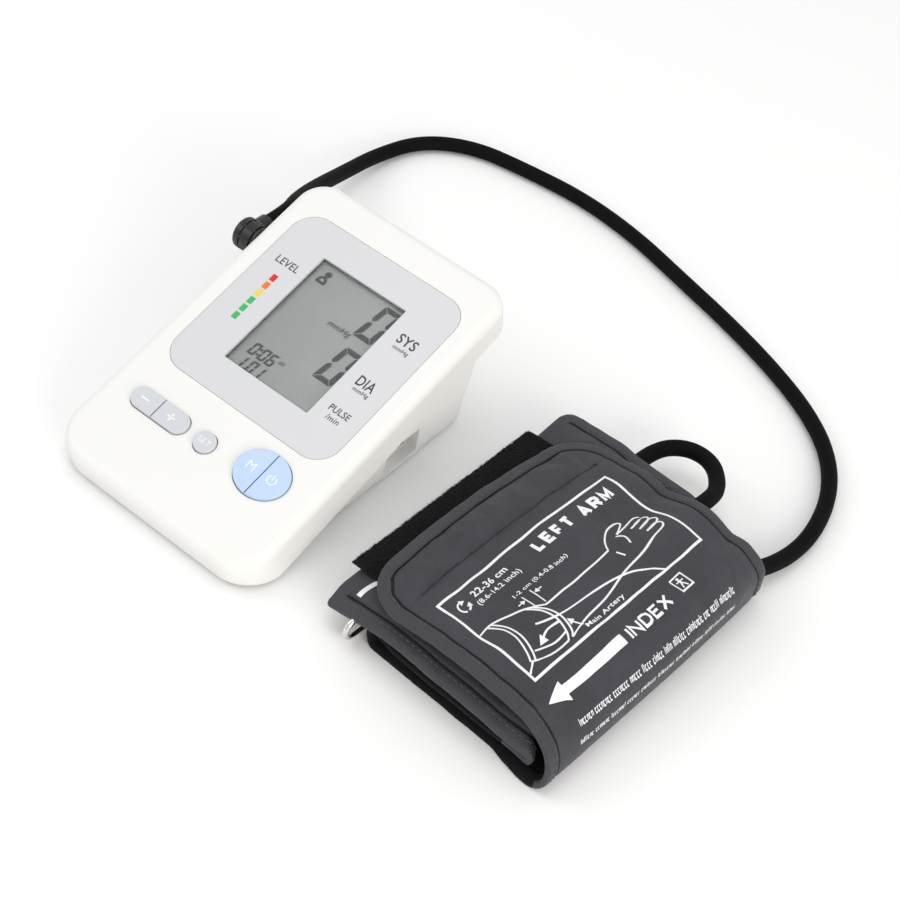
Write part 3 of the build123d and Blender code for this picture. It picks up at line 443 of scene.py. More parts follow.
# --- Printing on the monitor's face ---
panel = Drawing()
for label in (("LEVEL", (-31.4, 18.7), 11.4, 3.6, 0.008), ("SYS", (32.0, 18.8), 9.0, 4.9, 0.014),
              ("mmHg", (32.2, 13.9), 7.6, 2.5, 0.008), ("DIA", (31.8, -6.1), 8.4, 4.9, 0.014),
              ("mmHg", (32.4, -10.6), 7.6, 2.5, 0.008), ("PULSE", (31.9, -22.1), 9.9, 3.1, 0.010),
              ("/min", (31.7, -26.2), 6.2, 2.6, 0.006)):
    panel.text(*label)
BAR_U, BAR_TOP_V, BAR_PITCH, BAR_W, BAR_L = -31.4, 9.9, 4.55, 2.5, 3.5
SQUARE = ((-0.5, -0.5), (0.5, -0.5), (0.5, 0.5), (-0.5, 0.5))
for i, look in enumerate((1, 2, 3, 4, 4, 4)):
    v = BAR_TOP_V - i * BAR_PITCH
    panel.polygon([(BAR_U + a * BAR_W, v + b * BAR_L) for a, b in SQUARE], look)
panel.build("panel_print", lambda u, v, h: on_face(u, v, 0.005 + h),
            [dark_ink, red_ink, orange_ink, yellow_ink, green_ink], "monitor")

# Display segments, drawn once as the dark figures and once as their faint shadow
SEGMENTS = {"0": "abcdef", "1": "bc", "6": "acdefg"}
FIGURE_SLANT = 0.14


def digit(drawing, figure, centre, width, height, bar):
    """One seven-segment figure: bars mitred at the corners, pointed at mid height."""
    w, h, gap = width / 2, height / 2, bar * 0.12
    level = [(gap - w, h), (w - gap, h), (w - bar - gap, h - bar), (bar + gap - w, h - bar)]
    upright = [(-w, h - gap), (bar - w, h - bar - gap), (bar - w, gap + bar / 2), (bar / 2 - w, gap),
               (-w, gap + bar / 2)]
    t = bar / 2
    dash = [(gap + t - w, 0), (bar + gap - w, t), (w - bar - gap, t), (w - t - gap, 0),
            (w - bar - gap, -t), (bar + gap - w, -t)]
    bars = {"a": (level, 1, 1), "d": (level, 1, -1), "f": (upright, 1, 1), "b": (upright, -1, 1),
            "e": (upright, 1, -1), "c": (upright, -1, -1), "g": (dash, 1, 1)}
    for name in SEGMENTS[figure]:
        shape, flip_x, flip_y = bars[name]
        spots = [(x * flip_x, y * flip_y) for x, y in shape]
        drawing.polygon([(centre[0] + x + FIGURE_SLANT * y, centre[1] + y) for x, y in spots])


LARGE, SMALL = (9.2, 18.6, 2.3), (3.2, 6.0, 0.8)  # width, height and bar of a figure
CLOCK_V, DATE_V, DOT_R = -19.4, -26.6, 0.55


def display(drawing):
    """Two readings, a person sign, the clock and the date."""
    for v in (18.9, -5.6):
        digit(drawing, "0", (16.4, v), *LARGE)
    drawing.text("mmHg", (5.0, 8.0), 11.2, 3.6, slant=0.1)
    drawing.disc((-15.9, 25.6), 1.45)
    drawing.stroke(arc((-16.5, 21.3), 1.75, 0, 180, 12, 1.35), 1.1)
    drawing.stroke([(-18.7, 20.9), (-14.3, 20.9)], 1.1)
    for figure, u, v in (("0", -15.6, CLOCK_V), ("0", -10.6, CLOCK_V), ("6", -6.6, CLOCK_V),
                         ("1", -16.2, DATE_V), ("0", -10.8, DATE_V), ("1", -7.0, DATE_V)):
        digit(drawing, figure, (u, v), *SMALL)
    for dot in ((-13.0, -18.2), (-13.2, -20.8), (-13.2, -29.2)):
        drawing.disc(dot, DOT_R)
    drawing.text("am", (-2.4, -18.2), 2.6, 1.5)


figures = Drawing()
display(figures)
figures.build("display_figures", lambda u, v, h: on_face(u, v, -2.55 + h),
              [segment_ink], "monitor")
shadows = Drawing()
display(shadows)
shadows.build("display_shadows", lambda u, v, h: on_face(u + 0.45, v + 0.4, -2.59 + h * 0.5),
              [shadow_ink], "monitor", thick=0.02)

# Signs on the keys: each one's key, slot, lettering and strokes, with the strokes' width
KEY_TOP = 1.5
KEY_SIGNS = {
    "minus_sign": ("key_minus", "key_grey", None, 0.75, [[(-33.9, -64.2), (-30.1, -64.2)]]),
    "plus_sign": ("key_plus", "key_grey", None, 0.75, [
        [(-19.9, -64.2), (-18.2, -64.2)], [(-17.8, -64.2), (-16.1, -64.2)],
        [(-18.0, -66.1), (-18.0, -62.3)]]),
    "set_words": ("key_set", "key_grey", ("SET", (-0.3, -64.2), 6.2, 2.5), 0.0, []),
    "memory_letter": ("key_memory", "key_blue", ("M", (21.3, -61.0), 3.7, 3.9), 0.0, []),
    "power_sign": ("key_start", "key_blue", None, 0.55, [
        arc((31.8, -61.2), 1.95, 125, 415, 22), [(31.8, -61.2), (31.8, -58.6)]]),
}
for name, (key, slot, words, width, strokes) in KEY_SIGNS.items():
    sign = Drawing()
    if words:
        sign.text(*words)
    for line in strokes:
        sign.stroke(line, width)
    sign.build(name, lambda u, v, h: on_face(u, v, KEY_TOP + 0.005 + h), [white_ink], key)

# --- Air tube ---
outside_route = [
    (-59, 51.5, 45), (-59, 65, 45), (-68.5, 82, 36.5), (-78.5, 107, 24.5), (-87, 138, 12),
    (-91.5, 170, 4.4), (-85, 197.5, 3.6), (-64, 214.5, 3.6), (-36, 219.5, 3.6), (-4, 223, 3.6),
    (30, 219, 3.6), (64, 209, 3.6), (97, 199.5, 3.6), (127, 188.5, 3.6), (152.5, 176, 3.6),
    (172.5, 160, 3.6), (185.5, 139, 3.6), (191.5, 114, 3.6), (190.5, 92.5, 4.2),
]
fold_route = [
    (180.2, 80, 8.8), (180, 63, 12), (176.7, 50.5, 19.6), (166.8, 43, 23.1), (155, 45, 23.1),
    (148, 54, 23.1), (149.6, 69.5, 23.1), (151.4, 84.5, 22.6), (149.6, 98.5, 18.6),
    (138.6, 111.8, 16.2), (125.4, 112.2, 15), (115.8, 102, 13.5), (116, 88.5, 13.5),
]
TUBE_DIAMETER = 0.007
route = [Vector(point) * MM for point in outside_route] + [on_cuff(*point) for point in fold_route]
tube_curve = bpy.data.curves.new("air_hose", "CURVE")
tube_curve.dimensions = "3D"
tube_curve.bevel_depth = TUBE_DIAMETER / 2
tube_curve.bevel_resolution = 6
tube_curve.resolution_u = 12
tube_curve.use_fill_caps = True
spline = tube_curve.splines.new("NURBS")
spline.points.add(len(route) - 1)
for control, point in zip(spline.points, route):
    control.co = (*point, 1)
spline.order_u = 3
spline.use_endpoint_u = True
tube_curve.materials.append(tube_look.material)
air_hose = added("air_hose", tube_curve)
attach(air_hose, "cuff")
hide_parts("air_tube")

# --- Cuff: one folded strip. Distances along the strip start at the free flap. ---
STRIP_STEP = 0.5


def rounded(points, radii):
    """A polyline with tangent arcs at its corners, as closely spaced points."""
    line = [Vector(points[0])]
    for before, corner, after, radius in zip(points, points[1:], points[2:], radii):
        before, corner, after = Vector(before), Vector(corner), Vector(after)
        into, out = (corner - before).normalized(), (after - corner).normalized()
        turn = into.angle(out)
        reach = radius * tan(turn / 2)
        side = 1.0 if into.cross(out) > 0 else -1.0
        centre = corner - into * reach + Vector((-into.y, into.x)) * radius * side
        start = corner - into * reach - centre
        steps = max(2, int(turn / 0.12))
        for i in range(steps + 1):
            line.append(centre + Matrix.Rotation(side * turn * i / steps, 2) @ start)
    line.append(Vector(points[-1]))
    return line


def resampled(line, count):
    """The same line as count evenly spaced points, and its length."""
    lengths = [0.0]
    for a, b in zip(line, line[1:]):
        lengths.append(lengths[-1] + (b - a).length)
    spaced, j = [], 0
    for i in range(count):
        target = lengths[-1] * i / (count - 1)
        while j < len(line) - 2 and lengths[j + 1] < target:
            j += 1
        gap = lengths[j + 1] - lengths[j]
        spaced.append(line[j].lerp(line[j + 1], (target - lengths[j]) / gap if gap else 0.0))
    return spaced, lengths[-1]


# Side views of the strip's middle line: at the back the outer fold is square, at the front it is
# egg-shaped, and at the front lip the bound edges pinch together
SIDE_VIEWS = (  # corners and the radii that round them: back, front and lip
    ([(86.8, 22.6), (118, 25.4), (150, 28.6), (176, 28.6), (186.6, 20.5), (186.6, 2.3), (99.5, 2.3),
      (99.5, 9.5), (169, 9.5), (169, 17.4), (112, 17.8), (80, 15.8)],
     [60, 60, 9, 8, 6, 3.55, 3.55, 3.9, 3.9, 40]),
    ([(86.8, 22.4), (118, 25.8), (146, 28.6), (168.5, 27.2), (185.8, 15.5), (184.8, 2.3), (99.5, 2.3),
      (99.5, 9.2), (171.5, 9), (171.5, 16.6), (108, 17), (80, 14.8)],
     [60, 60, 24, 14, 6, 3.3, 3.3, 3.8, 3.8, 40]),
    ([(86.8, 22.4), (118, 26.2), (146, 28.8), (168.5, 27.4), (186, 15.5), (184.8, 1.9), (100.5, 1.9),
      (98, 12), (113, 7.7), (176.8, 7.7), (176.8, 11.6), (156, 15.9), (108, 16.2), (80, 10.6)],
     [60, 60, 24, 14, 6, 3, 2.6, 12, 1.65, 1.65, 40, 40]),
)
END_X = 80.0  # where the views end, under the hook tape
CUT_X = 140.0


def legs(line):
    """The line cut into five legs wherever it passes CUT_X."""
    parts, part = [], [line[0]]
    for a, b in zip(line, line[1:]):
        if (a.x - CUT_X) * (b.x - CUT_X) < 0:
            cut = a.lerp(b, (CUT_X - a.x) / (b.x - a.x))
            parts.append(part + [cut])
            part = [cut]
        part.append(b)
    return parts + [part]


def matched(outlines):
    """The outlines with equal numbers of points, leg by leg, and the legs' mean lengths."""
    lines, lengths = [[] for _ in outlines], []
    for parts in zip(*[legs(outline) for outline in outlines]):
        mean = sum(resampled(part, 2)[1] for part in parts) / len(parts)
        steps = round(mean / STRIP_STEP)
        for line, part in zip(lines, parts):
            line += resampled(part, steps + 1)[0][:-1]
        lengths.append(mean)
    for line, outline in zip(lines, outlines):
        line.append(outline[-1])
    return lines, lengths


(back_line, front_line, lip_line), leg_lengths = matched([rounded(*view) for view in SIDE_VIEWS])
SAMPLES = len(back_line)
STRIP_L = sum(leg_lengths)
STRIP_W = 135.0
HALF_W = STRIP_W / 2
FLAP_FRONT, FLAP_BACK = -53.0, 76.5
REST_FRONT, REST_BACK = -57.0, 79.5
END_BACK = 86.0  # the end over the ring reaches furthest back
LIP_REACH = 9.0
INNER_INSET = 3.2  # how far the hidden layers' front edges sit back
flap_cut, bottom_cut, leaf_cut = leg_lengths[0], sum(leg_lengths[:2]), sum(leg_lengths[:3])
FOLD_START, FOLD_END = flap_cut + 34, bottom_cut - 38  # where the outer fold turns down
BOTTOM_END = bottom_cut + 38  # where the left fold starts
LEAF_END = leaf_cut + 28  # where the inner fold starts


def smooth(value, low, high):
    """0 below low, 1 above high, and eased between them."""
    t = min(1.0, max(0.0, (value - low) / (high - low)))
    return t * t * (3 - 2 * t)


def middle(s, side):
    """Middle line at a distance along the strip, blended from front (-1) to back (+1)."""
    place = min(max(s / STRIP_L, 0.0), 1.0) * (SAMPLES - 1)
    i = min(int(place), SAMPLES - 2)
    lip, front, back = [line[i].lerp(line[i + 1], place - i) for line in (lip_line, front_line, back_line)]
    front = lip.lerp(front, smooth((side + 1) * HALF_W, 0.5, LIP_REACH))
    return front.lerp(back, smooth(side, -1.0, 0.35))


def edges(s):
    """Where the front and back edges lie across the cuff, at a distance along the strip."""
    share = smooth(s, FOLD_START, FOLD_END)
    front = FLAP_FRONT + (REST_FRONT - FLAP_FRONT) * share
    back = FLAP_BACK + (REST_BACK - FLAP_BACK) * share
    front += INNER_INSET * smooth(s, FOLD_END, FOLD_END + 20) * (1 - smooth(s, LEAF_END, LEAF_END + 24))
    return front, back + (END_BACK - REST_BACK) * smooth(s, LEAF_END + 12, LEAF_END + 40)


def across(s, w):
    """Position across the cuff, w from -1 at the front edge to +1 at the back."""
    front, back = edges(s)
    return (front + back) / 2 + w * (back - front) / 2


def w_at(s, y):
    """The w that lies at a position across the cuff."""
    front, back = edges(s)
    return (2 * y - front - back) / (back - front)


def hill(value, centre, width):
    return exp(-(((value - centre) / width) ** 2))


def wave(x, y, seed):
    return noise.noise(Vector((x, y, seed)))


# The panel between the flap's free edge and its seam, sewn down all round: a cloth a little too
# large for its outline, blown up from below. It is simulated flat, at ten times its size, and
# its heights are then added to the folded strip, so that the stitches lie on it.
PANEL_X0, PANEL_X1, PANEL_Y0, PANEL_Y1 = 93.5, 107.5, -47.0, 61.0
PANEL_SCALE = 0.01  # metres in the simulation for a millimetre
PANEL_FRAMES = 25
PANEL_CLOTH = {
    "quality": 8, "mass": 0.15, "tension_stiffness": 20.0, "compression_stiffness": 20.0,
    "shear_stiffness": 10.0, "bending_stiffness": 0.15, "shrink_min": -0.05, "use_pressure": True,
    "uniform_pressure_force": 1.2, "vertex_group_mass": "sewn_edge"}
PANEL_SWELL = 1.4
PANEL_LOW, PANEL_HIGH = -0.3, 2.6  # limits of the panel's height


def blown_panel(columns, rows):
    """Heights of the simulated panel in millimetres, row by row, a millimetre apart."""
    spots = [(i * PANEL_SCALE, j * PANEL_SCALE, 0.0) for j in range(rows) for i in range(columns)]
    squares = [(j * columns + i, j * columns + i + 1, (j + 1) * columns + i + 1, (j + 1) * columns + i)
               for j in range(rows - 1) for i in range(columns - 1)]
    mesh = bpy.data.meshes.new("sewn_panel")
    mesh.from_pydata(spots, [], squares)
    sheet = added("sewn_panel", mesh)
    pins = sheet.vertex_groups.new(name=PANEL_CLOTH["vertex_group_mass"])
    pins.add([j * columns + i for j in range(rows) for i in range(columns)
              if i in (0, columns - 1) or j in (0, rows - 1)], 1.0, "ADD")
    cloth = sheet.modifiers.new("cloth", "CLOTH")
    cloth.collision_settings.use_collision = False
    for name, value in PANEL_CLOTH.items():
        setattr(cloth.settings, name, value)
    cloth.settings.effector_weights.gravity = 0.0
    for number in range(1, PANEL_FRAMES + 1):
        bpy.context.scene.frame_set(number)
    moved = sheet.evaluated_get(bpy.context.evaluated_depsgraph_get()).data.vertices
    scale = PANEL_SWELL / PANEL_SCALE
    heights = [[moved[j * columns + i].co.z * scale for i in range(columns)] for j in range(rows)]
    bpy.data.objects.remove(sheet)
    bpy.data.meshes.remove(mesh)
    bpy.context.scene.frame_set(1)
    return heights


def evened(heights):
    """Each height averaged with its neighbours, the sewn edge left down."""
    result = [row[:] for row in heights]
    for j in range(1, len(heights) - 1):
        for i in range(1, len(heights[0]) - 1):
            beside = heights[j][i - 1] + heights[j][i + 1] + heights[j - 1][i] + heights[j + 1][i]
            height = 0.4 * heights[j][i] + 0.15 * beside
            result[j][i] = min(max(height, PANEL_LOW), PANEL_HIGH)
    return result


panel_heights = []
panel_heights = blown_panel(int(PANEL_X1 - PANEL_X0) + 1, int(PANEL_Y1 - PANEL_Y0) + 1)
for _ in range(2):
    panel_heights = evened(panel_heights)


def panel_lift(x, y):
    if not (PANEL_X0 < x < PANEL_X1 and PANEL_Y0 < y < PANEL_Y1):
        return 0.0
    if not panel_heights:
        return 1.2 * sin(pi * (x - PANEL_X0) / (PANEL_X1 - PANEL_X0))
    i, j = int(x - PANEL_X0), int(y - PANEL_Y0)
    a, b = x - PANEL_X0 - i, y - PANEL_Y0 - j
    i1, j1 = min(i + 1, len(panel_heights[0]) - 1), min(j + 1, len(panel_heights) - 1)
    near = panel_heights[j][i] * (1 - a) + panel_heights[j][i1] * a
    far = panel_heights[j1][i] * (1 - a) + panel_heights[j1][i1] * a
    return near * (1 - b) + far * b


def drape(x, y, s):
    """Extra height of the fabric, in millimetres: folds over the tube and soft waves."""
    lift = 0.0
    if s < FOLD_END:
        to_back = smooth(y, 8.0, 74.0)
        over_tube = 1.6 * hill(x, 153.0, 7.5) - 2.8 * hill(x, 137.5, 9.0) - 2.0 * hill(x, 169.5, 8.0)
        lift = to_back * over_tube + panel_lift(x, y)
        # Long soft waves over the printed part, and one crease across it
        crease = 0.7 * hill(y, 15.0 + (x - 118.0) * 0.2, 9.0) * (1 - to_back)
        lift += smooth(x, 108.0, 118.0) * (1.3 * wave(x * 0.045, y * 0.048, 3.7) + crease)
        lift += 0.6 * wave(x * 0.12, y * 0.10, 8.1)
        lift *= 1.0 - smooth(s, FOLD_START - 6, FOLD_END - 6)
    elif s > LEAF_END:
        lift = 0.5 * wave(x * 0.06, y * 0.045, 21.3)
        lift += 3.4 * smooth(s, LEAF_END + 12, LEAF_END + 40) * smooth(y, 56.0, 84.0)
        lift += 0.7 * smooth(y, 40.0, 79.0) * sin((x - 84.0) * 0.11)
    elif s > BOTTOM_END:
        lift = 0.35 * wave(x * 0.06, y * 0.05, 40.2)
    return lift


def ripple(s, w, distance):
    """Small gathers across the binding, fading away from the edge, in millimetres."""
    along = w * HALF_W if distance == s else s
    seed = 0.0 if w < 0 else 9.0
    quick, slow = wave(along * 0.23, seed, s * 0.004), wave(along * 0.07, 4.0 + seed, s * 0.004)
    return (1.0 - smooth(distance, 3.0, 16.0)) * (0.38 * quick + 0.55 * slow)


SEAM_S = 21.0  # line of stitches across the flap, beside its free edge
SEAM_SHARE = 0.80  # how much of the width that line covers
FLAP_BOW = 3.4  # how far the free edge's ends lie behind its middle


def place_middle(s, w, distance):
    """Middle surface of the strip, in cuff coordinates."""
    flat = middle(s, w)
    y = across(s, w)
    droop = DROOP * (HALF[-1] - half_thickness(s, w, distance))
    bow = FLAP_BOW * ((y - 2.0) / 55.0) ** 2 * (1 - smooth(s, 0.0, 60.0))
    return Vector((flat.x + bow, y, flat.y + drape(flat.x, y, s) + ripple(s, w, distance) - droop))


def surface_normal(s, w, distance):
    """The way out of the strip's outer side."""
    ds, dw = 0.4, 0.01
    s0, s1 = max(s - ds, 0.0), min(s + ds, STRIP_L)
    w0, w1 = max(w - dw, -1.0), min(w + dw, 1.0)
    along = place_middle(s1, w, distance) - place_middle(s0, w, distance)
    over = place_middle(s, w1, distance) - place_middle(s, w0, distance)
    return along.cross(over).normalized()


# Half thickness against distance from the edge: thin binding tape, the groove of its seam,
# then the padding. The thin edges droop by a share of what they lack.
EDGE = [0.0, 0.25, 0.8, 1.8, 3.4, 4.9, 5.35, 5.5, 6.1, 6.25, 7.0, 9.0, 13.0, 17.0, 20.0]
HALF = [0.35, 0.88, 1.20, 1.36, 1.38, 1.34, 1.28, 0.72, 0.72, 1.22, 1.46, 1.70, 1.86, 1.96, 2.0]
GROOVE_START, GROOVE_END = EDGE[6], EDGE[9]
DROOP = 0.7
FLAP_CORNER = EDGE[-1]


def at_end(s, w):
    """True where the plain end over the ring is nearer than the bound edges."""
    return STRIP_L - s < HALF_W * (1 - abs(w))


def half_thickness(s, w, distance):
    """From the table, with the plain end's edge and the flap's seam."""
    if distance >= EDGE[-1]:
        height = HALF[-1]
    else:
        i = max(j for j, edge in enumerate(EDGE) if edge <= distance)
        t = (distance - EDGE[i]) / (EDGE[i + 1] - EDGE[i])
        height = HALF[i] + (HALF[i + 1] - HALF[i]) * t
    if at_end(s, w) and distance > GROOVE_START:
        height = max(height, HALF[4])
    if abs(w) < SEAM_SHARE:
        height -= 0.60 * hill(s, SEAM_S, 0.7) + 0.40 * hill(s, SEAM_S, 2.8)
    return height


def on_side(s, w, distance, side, gap=0.0):
    """A spot off the strip's outer (+1) or inner (-1) side by a gap, and the way out there."""
    normal = surface_normal(s, w, distance) * side
    return place_middle(s, w, distance) + normal * (half_thickness(s, w, distance) + gap), normal


STRIP_CLEAR, PIECE_CLEAR, PRINT_GAP = 0.05, 0.1, 0.03


def above(spot, floor):
    """Metres, for a spot of the cuff kept above the floor by some millimetres."""
    return on_cuff(spot.x, spot.y, max(spot.z, floor))


# The strip's grid: rows along it, columns across it, both finest at the edges, seam and folds
inner = HALF_W - FLAP_CORNER
INNER_STEPS = 46
RIM = len(EDGE) - 1
FOLDS = ((FOLD_START - 8, FOLD_END + 4), (BOTTOM_END - 4, BOTTOM_END + 12), (LEAF_END - 4, LEAF_END + 12))
columns = [d - HALF_W for d in EDGE]
columns += [-inner + 2 * inner * i / INNER_STEPS for i in range(1, INNER_STEPS)]
columns += [HALF_W - d for d in reversed(EDGE)]
rows = list(EDGE)
s = FLAP_CORNER
while s < STRIP_L - FLAP_CORNER - 0.1:
    in_fold = any(low < s < high for low, high in FOLDS)
    s += 0.45 if abs(s - SEAM_S) < 3.4 else 1.2 if in_fold or s < SEAM_S else 2.6
    if s < STRIP_L - FLAP_CORNER - 0.5:
        rows.append(s)
rows += [STRIP_L - d for d in reversed(EDGE)]
LAST_ROW, LAST_COLUMN = len(rows) - 1, len(columns) - 1

grid = []  # (s, w, distance to the edge)
index = {}
quads = []


def vertex(key, s, y, distance):
    if key not in index:
        index[key] = len(grid)
        grid.append((s, y / HALF_W, distance))
    return index[key]


END_RADII = {-1.0: 2.0, 1.0: 6.0}


def eased(s, y):
    """Rounds the two corners at the ring's end, ring of the grid by ring."""
    side = copysign(1.0, y)
    radius = END_RADII[side]
    u, v = radius - (STRIP_L - s), radius - (HALF_W - abs(y))
    if min(u, v) <= 0:
        return s, y
    turn = pi / 4 * v / u if u >= v else pi / 2 - pi / 4 * u / v
    reach = max(u, v)
    return STRIP_L - radius + reach * cos(turn), side * (HALF_W - radius + reach * sin(turn))


def grid_vertex(i, j):
    s, y = rows[i], columns[j]
    return vertex((i, j), *eased(s, y), min(HALF_W - abs(y), s, STRIP_L - s))


for i in range(LAST_ROW):
    for j in range(LAST_COLUMN):
        if i >= RIM or RIM <= j < LAST_COLUMN - RIM:
            quads.append((grid_vertex(i, j), grid_vertex(i, j + 1), grid_vertex(i + 1, j + 1),
                          grid_vertex(i + 1, j)))

FAN = 14  # steps in the fans of rings round the flap's two corners


def rim_column(side, k):
    return k if side < 0 else LAST_COLUMN - k


def fan_vertex(side, ring, step):
    if step == 0:
        return grid_vertex(RIM, rim_column(side, ring))
    if step == FAN:
        return grid_vertex(ring, rim_column(side, RIM))
    turn = pi / 2 * step / FAN
    radius = FLAP_CORNER - EDGE[ring]
    y = side * (inner + radius * cos(turn))
    return vertex((side, ring, step), FLAP_CORNER - radius * sin(turn), y, EDGE[ring])


for side in (-1, 1):
    for ring in range(RIM):
        for step in range(FAN):
            corners = (fan_vertex(side, ring, step), fan_vertex(side, ring, step + 1))
            if ring + 1 < RIM:
                corners += (fan_vertex(side, ring + 1, step + 1), fan_vertex(side, ring + 1, step))
            else:
                corners += (grid_vertex(RIM, rim_column(side, RIM)),)
            quads.append(corners if side > 0 else corners[::-1])

border = [grid_vertex(i, 0) for i in range(LAST_ROW, RIM, -1)]
border += [fan_vertex(-1, 0, step) for step in range(FAN)]
border += [grid_vertex(0, j) for j in range(RIM, LAST_COLUMN - RIM)]
border += [fan_vertex(1, 0, step) for step in range(FAN, 0, -1)]
border += [grid_vertex(i, LAST_COLUMN) for i in range(RIM, LAST_ROW + 1)]
border += [grid_vertex(LAST_ROW, j) for j in range(LAST_COLUMN - 1, 0, -1)]

count = len(grid)
strip_points = [above(on_side(*spot, side)[0], STRIP_CLEAR) for side in (1.0, -1.0) for spot in grid]
strip_faces, strip_looks = [], []
FABRIC, BINDING, LOOP, SEAM_SHADE = 0, 1, 2, 3


def look_at(corners, top):
    """The look of a face from where it lies on the strip."""
    s, _, distance = [sum(values) / len(corners) for values in zip(*[grid[k] for k in corners])]
    on_bottom = FOLD_END - 5 < s < BOTTOM_END + 6
    if not top and s < BOTTOM_END + 6 and s > 3:
        return LOOP if distance > EDGE[3] or on_bottom else BINDING
    if on_bottom and distance < EDGE[4]:
        return LOOP
    # Painted shade: the leaf's front edge, between the bottom and the inner fold, takes the near-black loop
    # pile to stand in for the shade under the layer above
    if BOTTOM_END < s < LEAF_END - 6 and distance < EDGE[-3]:
        return LOOP
    if all(at_end(*grid[k][:2]) for k in corners):
        return FABRIC
    # Painted shadow: the groove faces take the near-black seam material in place of their shade
    if GROOVE_START < distance < GROOVE_END:
        return SEAM_SHADE
    return BINDING if distance < GROOVE_END else FABRIC


for corners in quads:
    strip_faces.append(tuple(reversed(corners)))
    strip_looks.append(look_at(corners, True))
    strip_faces.append(tuple(k + count for k in corners))
    strip_looks.append(look_at(corners, False))
for a, b in zip(border, border[1:] + border[:1]):
    strip_faces.append((a, b, b + count, a + count))
    strip_looks.append(look_at((a, b), True))

cuff_strip = new_object("cuff_strip", strip_points, strip_faces,
                        [fabric_look, binding_look, loop_look, seam_shadow_look], "cuff", strip_looks)
mending = bmesh.new()
mending.from_mesh(cuff_strip.data)
bmesh.ops.recalc_face_normals(mending, faces=mending.faces)
mending.to_mesh(cuff_strip.data)
mending.free()
strip_uv = cuff_strip.data.uv_layers.new(name="strip")
for loop in cuff_strip.data.loops:
    s, w, _ = grid[loop.vertex_index % count]
    strip_uv.data[loop.index].uv = (s * MM, w * HALF_W * MM)
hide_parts("cuff_cover", "loop_pad")

# --- Sewing thread: short stitches sunk in the binding's groove and along the flap's seam ---
STITCH_L, STITCH_PITCH, THREAD_R = 2.0, 2.9, 0.26
STITCH_INSET = 4.1
STITCH_SIDES = 6
STITCH_RINGS = ((0.0, 0.35), (0.18, 1.0), (0.5, 1.0), (0.82, 1.0), (1.0, 0.35))  # place and swell
stitch_points, stitch_faces = [], []


def stitched(spots, side):
    """Adds one raised stitch through three spots (s, w, distance) on one side of the strip."""
    middles, ups = zip(*[on_side(*spot, side, 0.05) for spot in spots])
    run = (middles[-1] - middles[0]).normalized()
    start = len(stitch_points)
    for share, swell in STITCH_RINGS:
        half = min(int(share * 2), 1)
        centre = middles[half].lerp(middles[half + 1], share * 2 - half)
        over = run.cross(ups[half]).normalized()
        radius, sink = THREAD_R * swell, 0.3 * (1 - swell)
        for k in range(STITCH_SIDES):
            turn = 2 * pi * k / STITCH_SIDES
            offset = ups[half] * (sin(turn) * radius - sink) + over * cos(turn) * radius
            stitch_points.append(above(centre + offset, PIECE_CLEAR))
    ring = [start + k for k in range(STITCH_SIDES)]
    stitch_faces.append(tuple(reversed(ring)))
    for _ in STITCH_RINGS[1:]:
        after = [k + STITCH_SIDES for k in ring]
        for k in range(STITCH_SIDES):
            stitch_faces.append((ring[k - 1], ring[k], after[k], after[k - 1]))
        ring = after
    stitch_faces.append(tuple(ring))


def edge_spot(t):
    """A spot on the stitch line that follows the strip's outline: t in millimetres from the
    flap's far corner round its free end, negative on the front side."""
    radius = FLAP_CORNER - STITCH_INSET
    bend = radius * pi / 2
    side, t = (-1.0 if t < 0 else 1.0), abs(t)
    s, y = STITCH_INSET, t
    if t >= inner + bend:
        s, y = FLAP_CORNER + t - inner - bend, HALF_W - STITCH_INSET
    elif t >= inner:
        turn = (t - inner) / radius
        s, y = FLAP_CORNER - radius * cos(turn), inner + radius * sin(turn)
    return s, side * y / HALF_W, STITCH_INSET


STITCH_SPOTS = (0.0, STITCH_L / 2, STITCH_L)
outline_reach = inner + (FLAP_CORNER - STITCH_INSET) * pi / 2 + STRIP_L - FLAP_CORNER - 6
t = -outline_reach
while t < outline_reach - STITCH_L:
    spots = [edge_spot(t + k) for k in STITCH_SPOTS]
    stitched(spots, 1.0)
    if spots[0][0] > BOTTOM_END:
        stitched(spots, -1.0)
    t += STITCH_PITCH
edge_faces = len(stitch_faces)
y = -SEAM_SHARE * HALF_W
while y < SEAM_SHARE * HALF_W:
    stitched([(SEAM_S, (y + k) / HALF_W, HALF_W - abs(y)) for k in STITCH_SPOTS], 1.0)
    y += STITCH_PITCH
# The flap's seam stitches take the near-black seam material: painted shade of their groove
new_object("cuff_stitches", stitch_points, stitch_faces, [thread_look, seam_shadow_look], "cuff",
           [int(i >= edge_faces) for i in range(len(stitch_faces))])

# --- Hook tape beside the flap, and the fuzz on the loop side's edge ---
HOOK_X0, HOOK_X1, HOOK_Y0, HOOK_Y1, HOOK_T = 77.0, 104.0, -40.5, 63.5, 1.5
HOOK_ROW, HOOK_REACH = 1.25, 20.0  # spacing of the hooks, and how far across the tape they show
LOOSE_HAIRS, LOOP_HAIRS = 900, 5200
TAPE_ROWS, TAPE_COLUMNS = 84, 12
STRIDE = TAPE_COLUMNS + 1
END_STRETCH = 1.01  # length along the strip's other end for a millimetre across it
random.seed(11)


def hook_height(x, y):
    """Top of the hook tape's backing above the table, following the strip's end under it."""
    s = STRIP_L - END_STRETCH * max(x - END_X, 0.0) - 1.5
    slope = 0.06 * min(x - END_X, 0.0)
    return place_middle(s, w_at(s, y), EDGE[-1]).z + HALF[-1] + HOOK_T + slope - 0.1


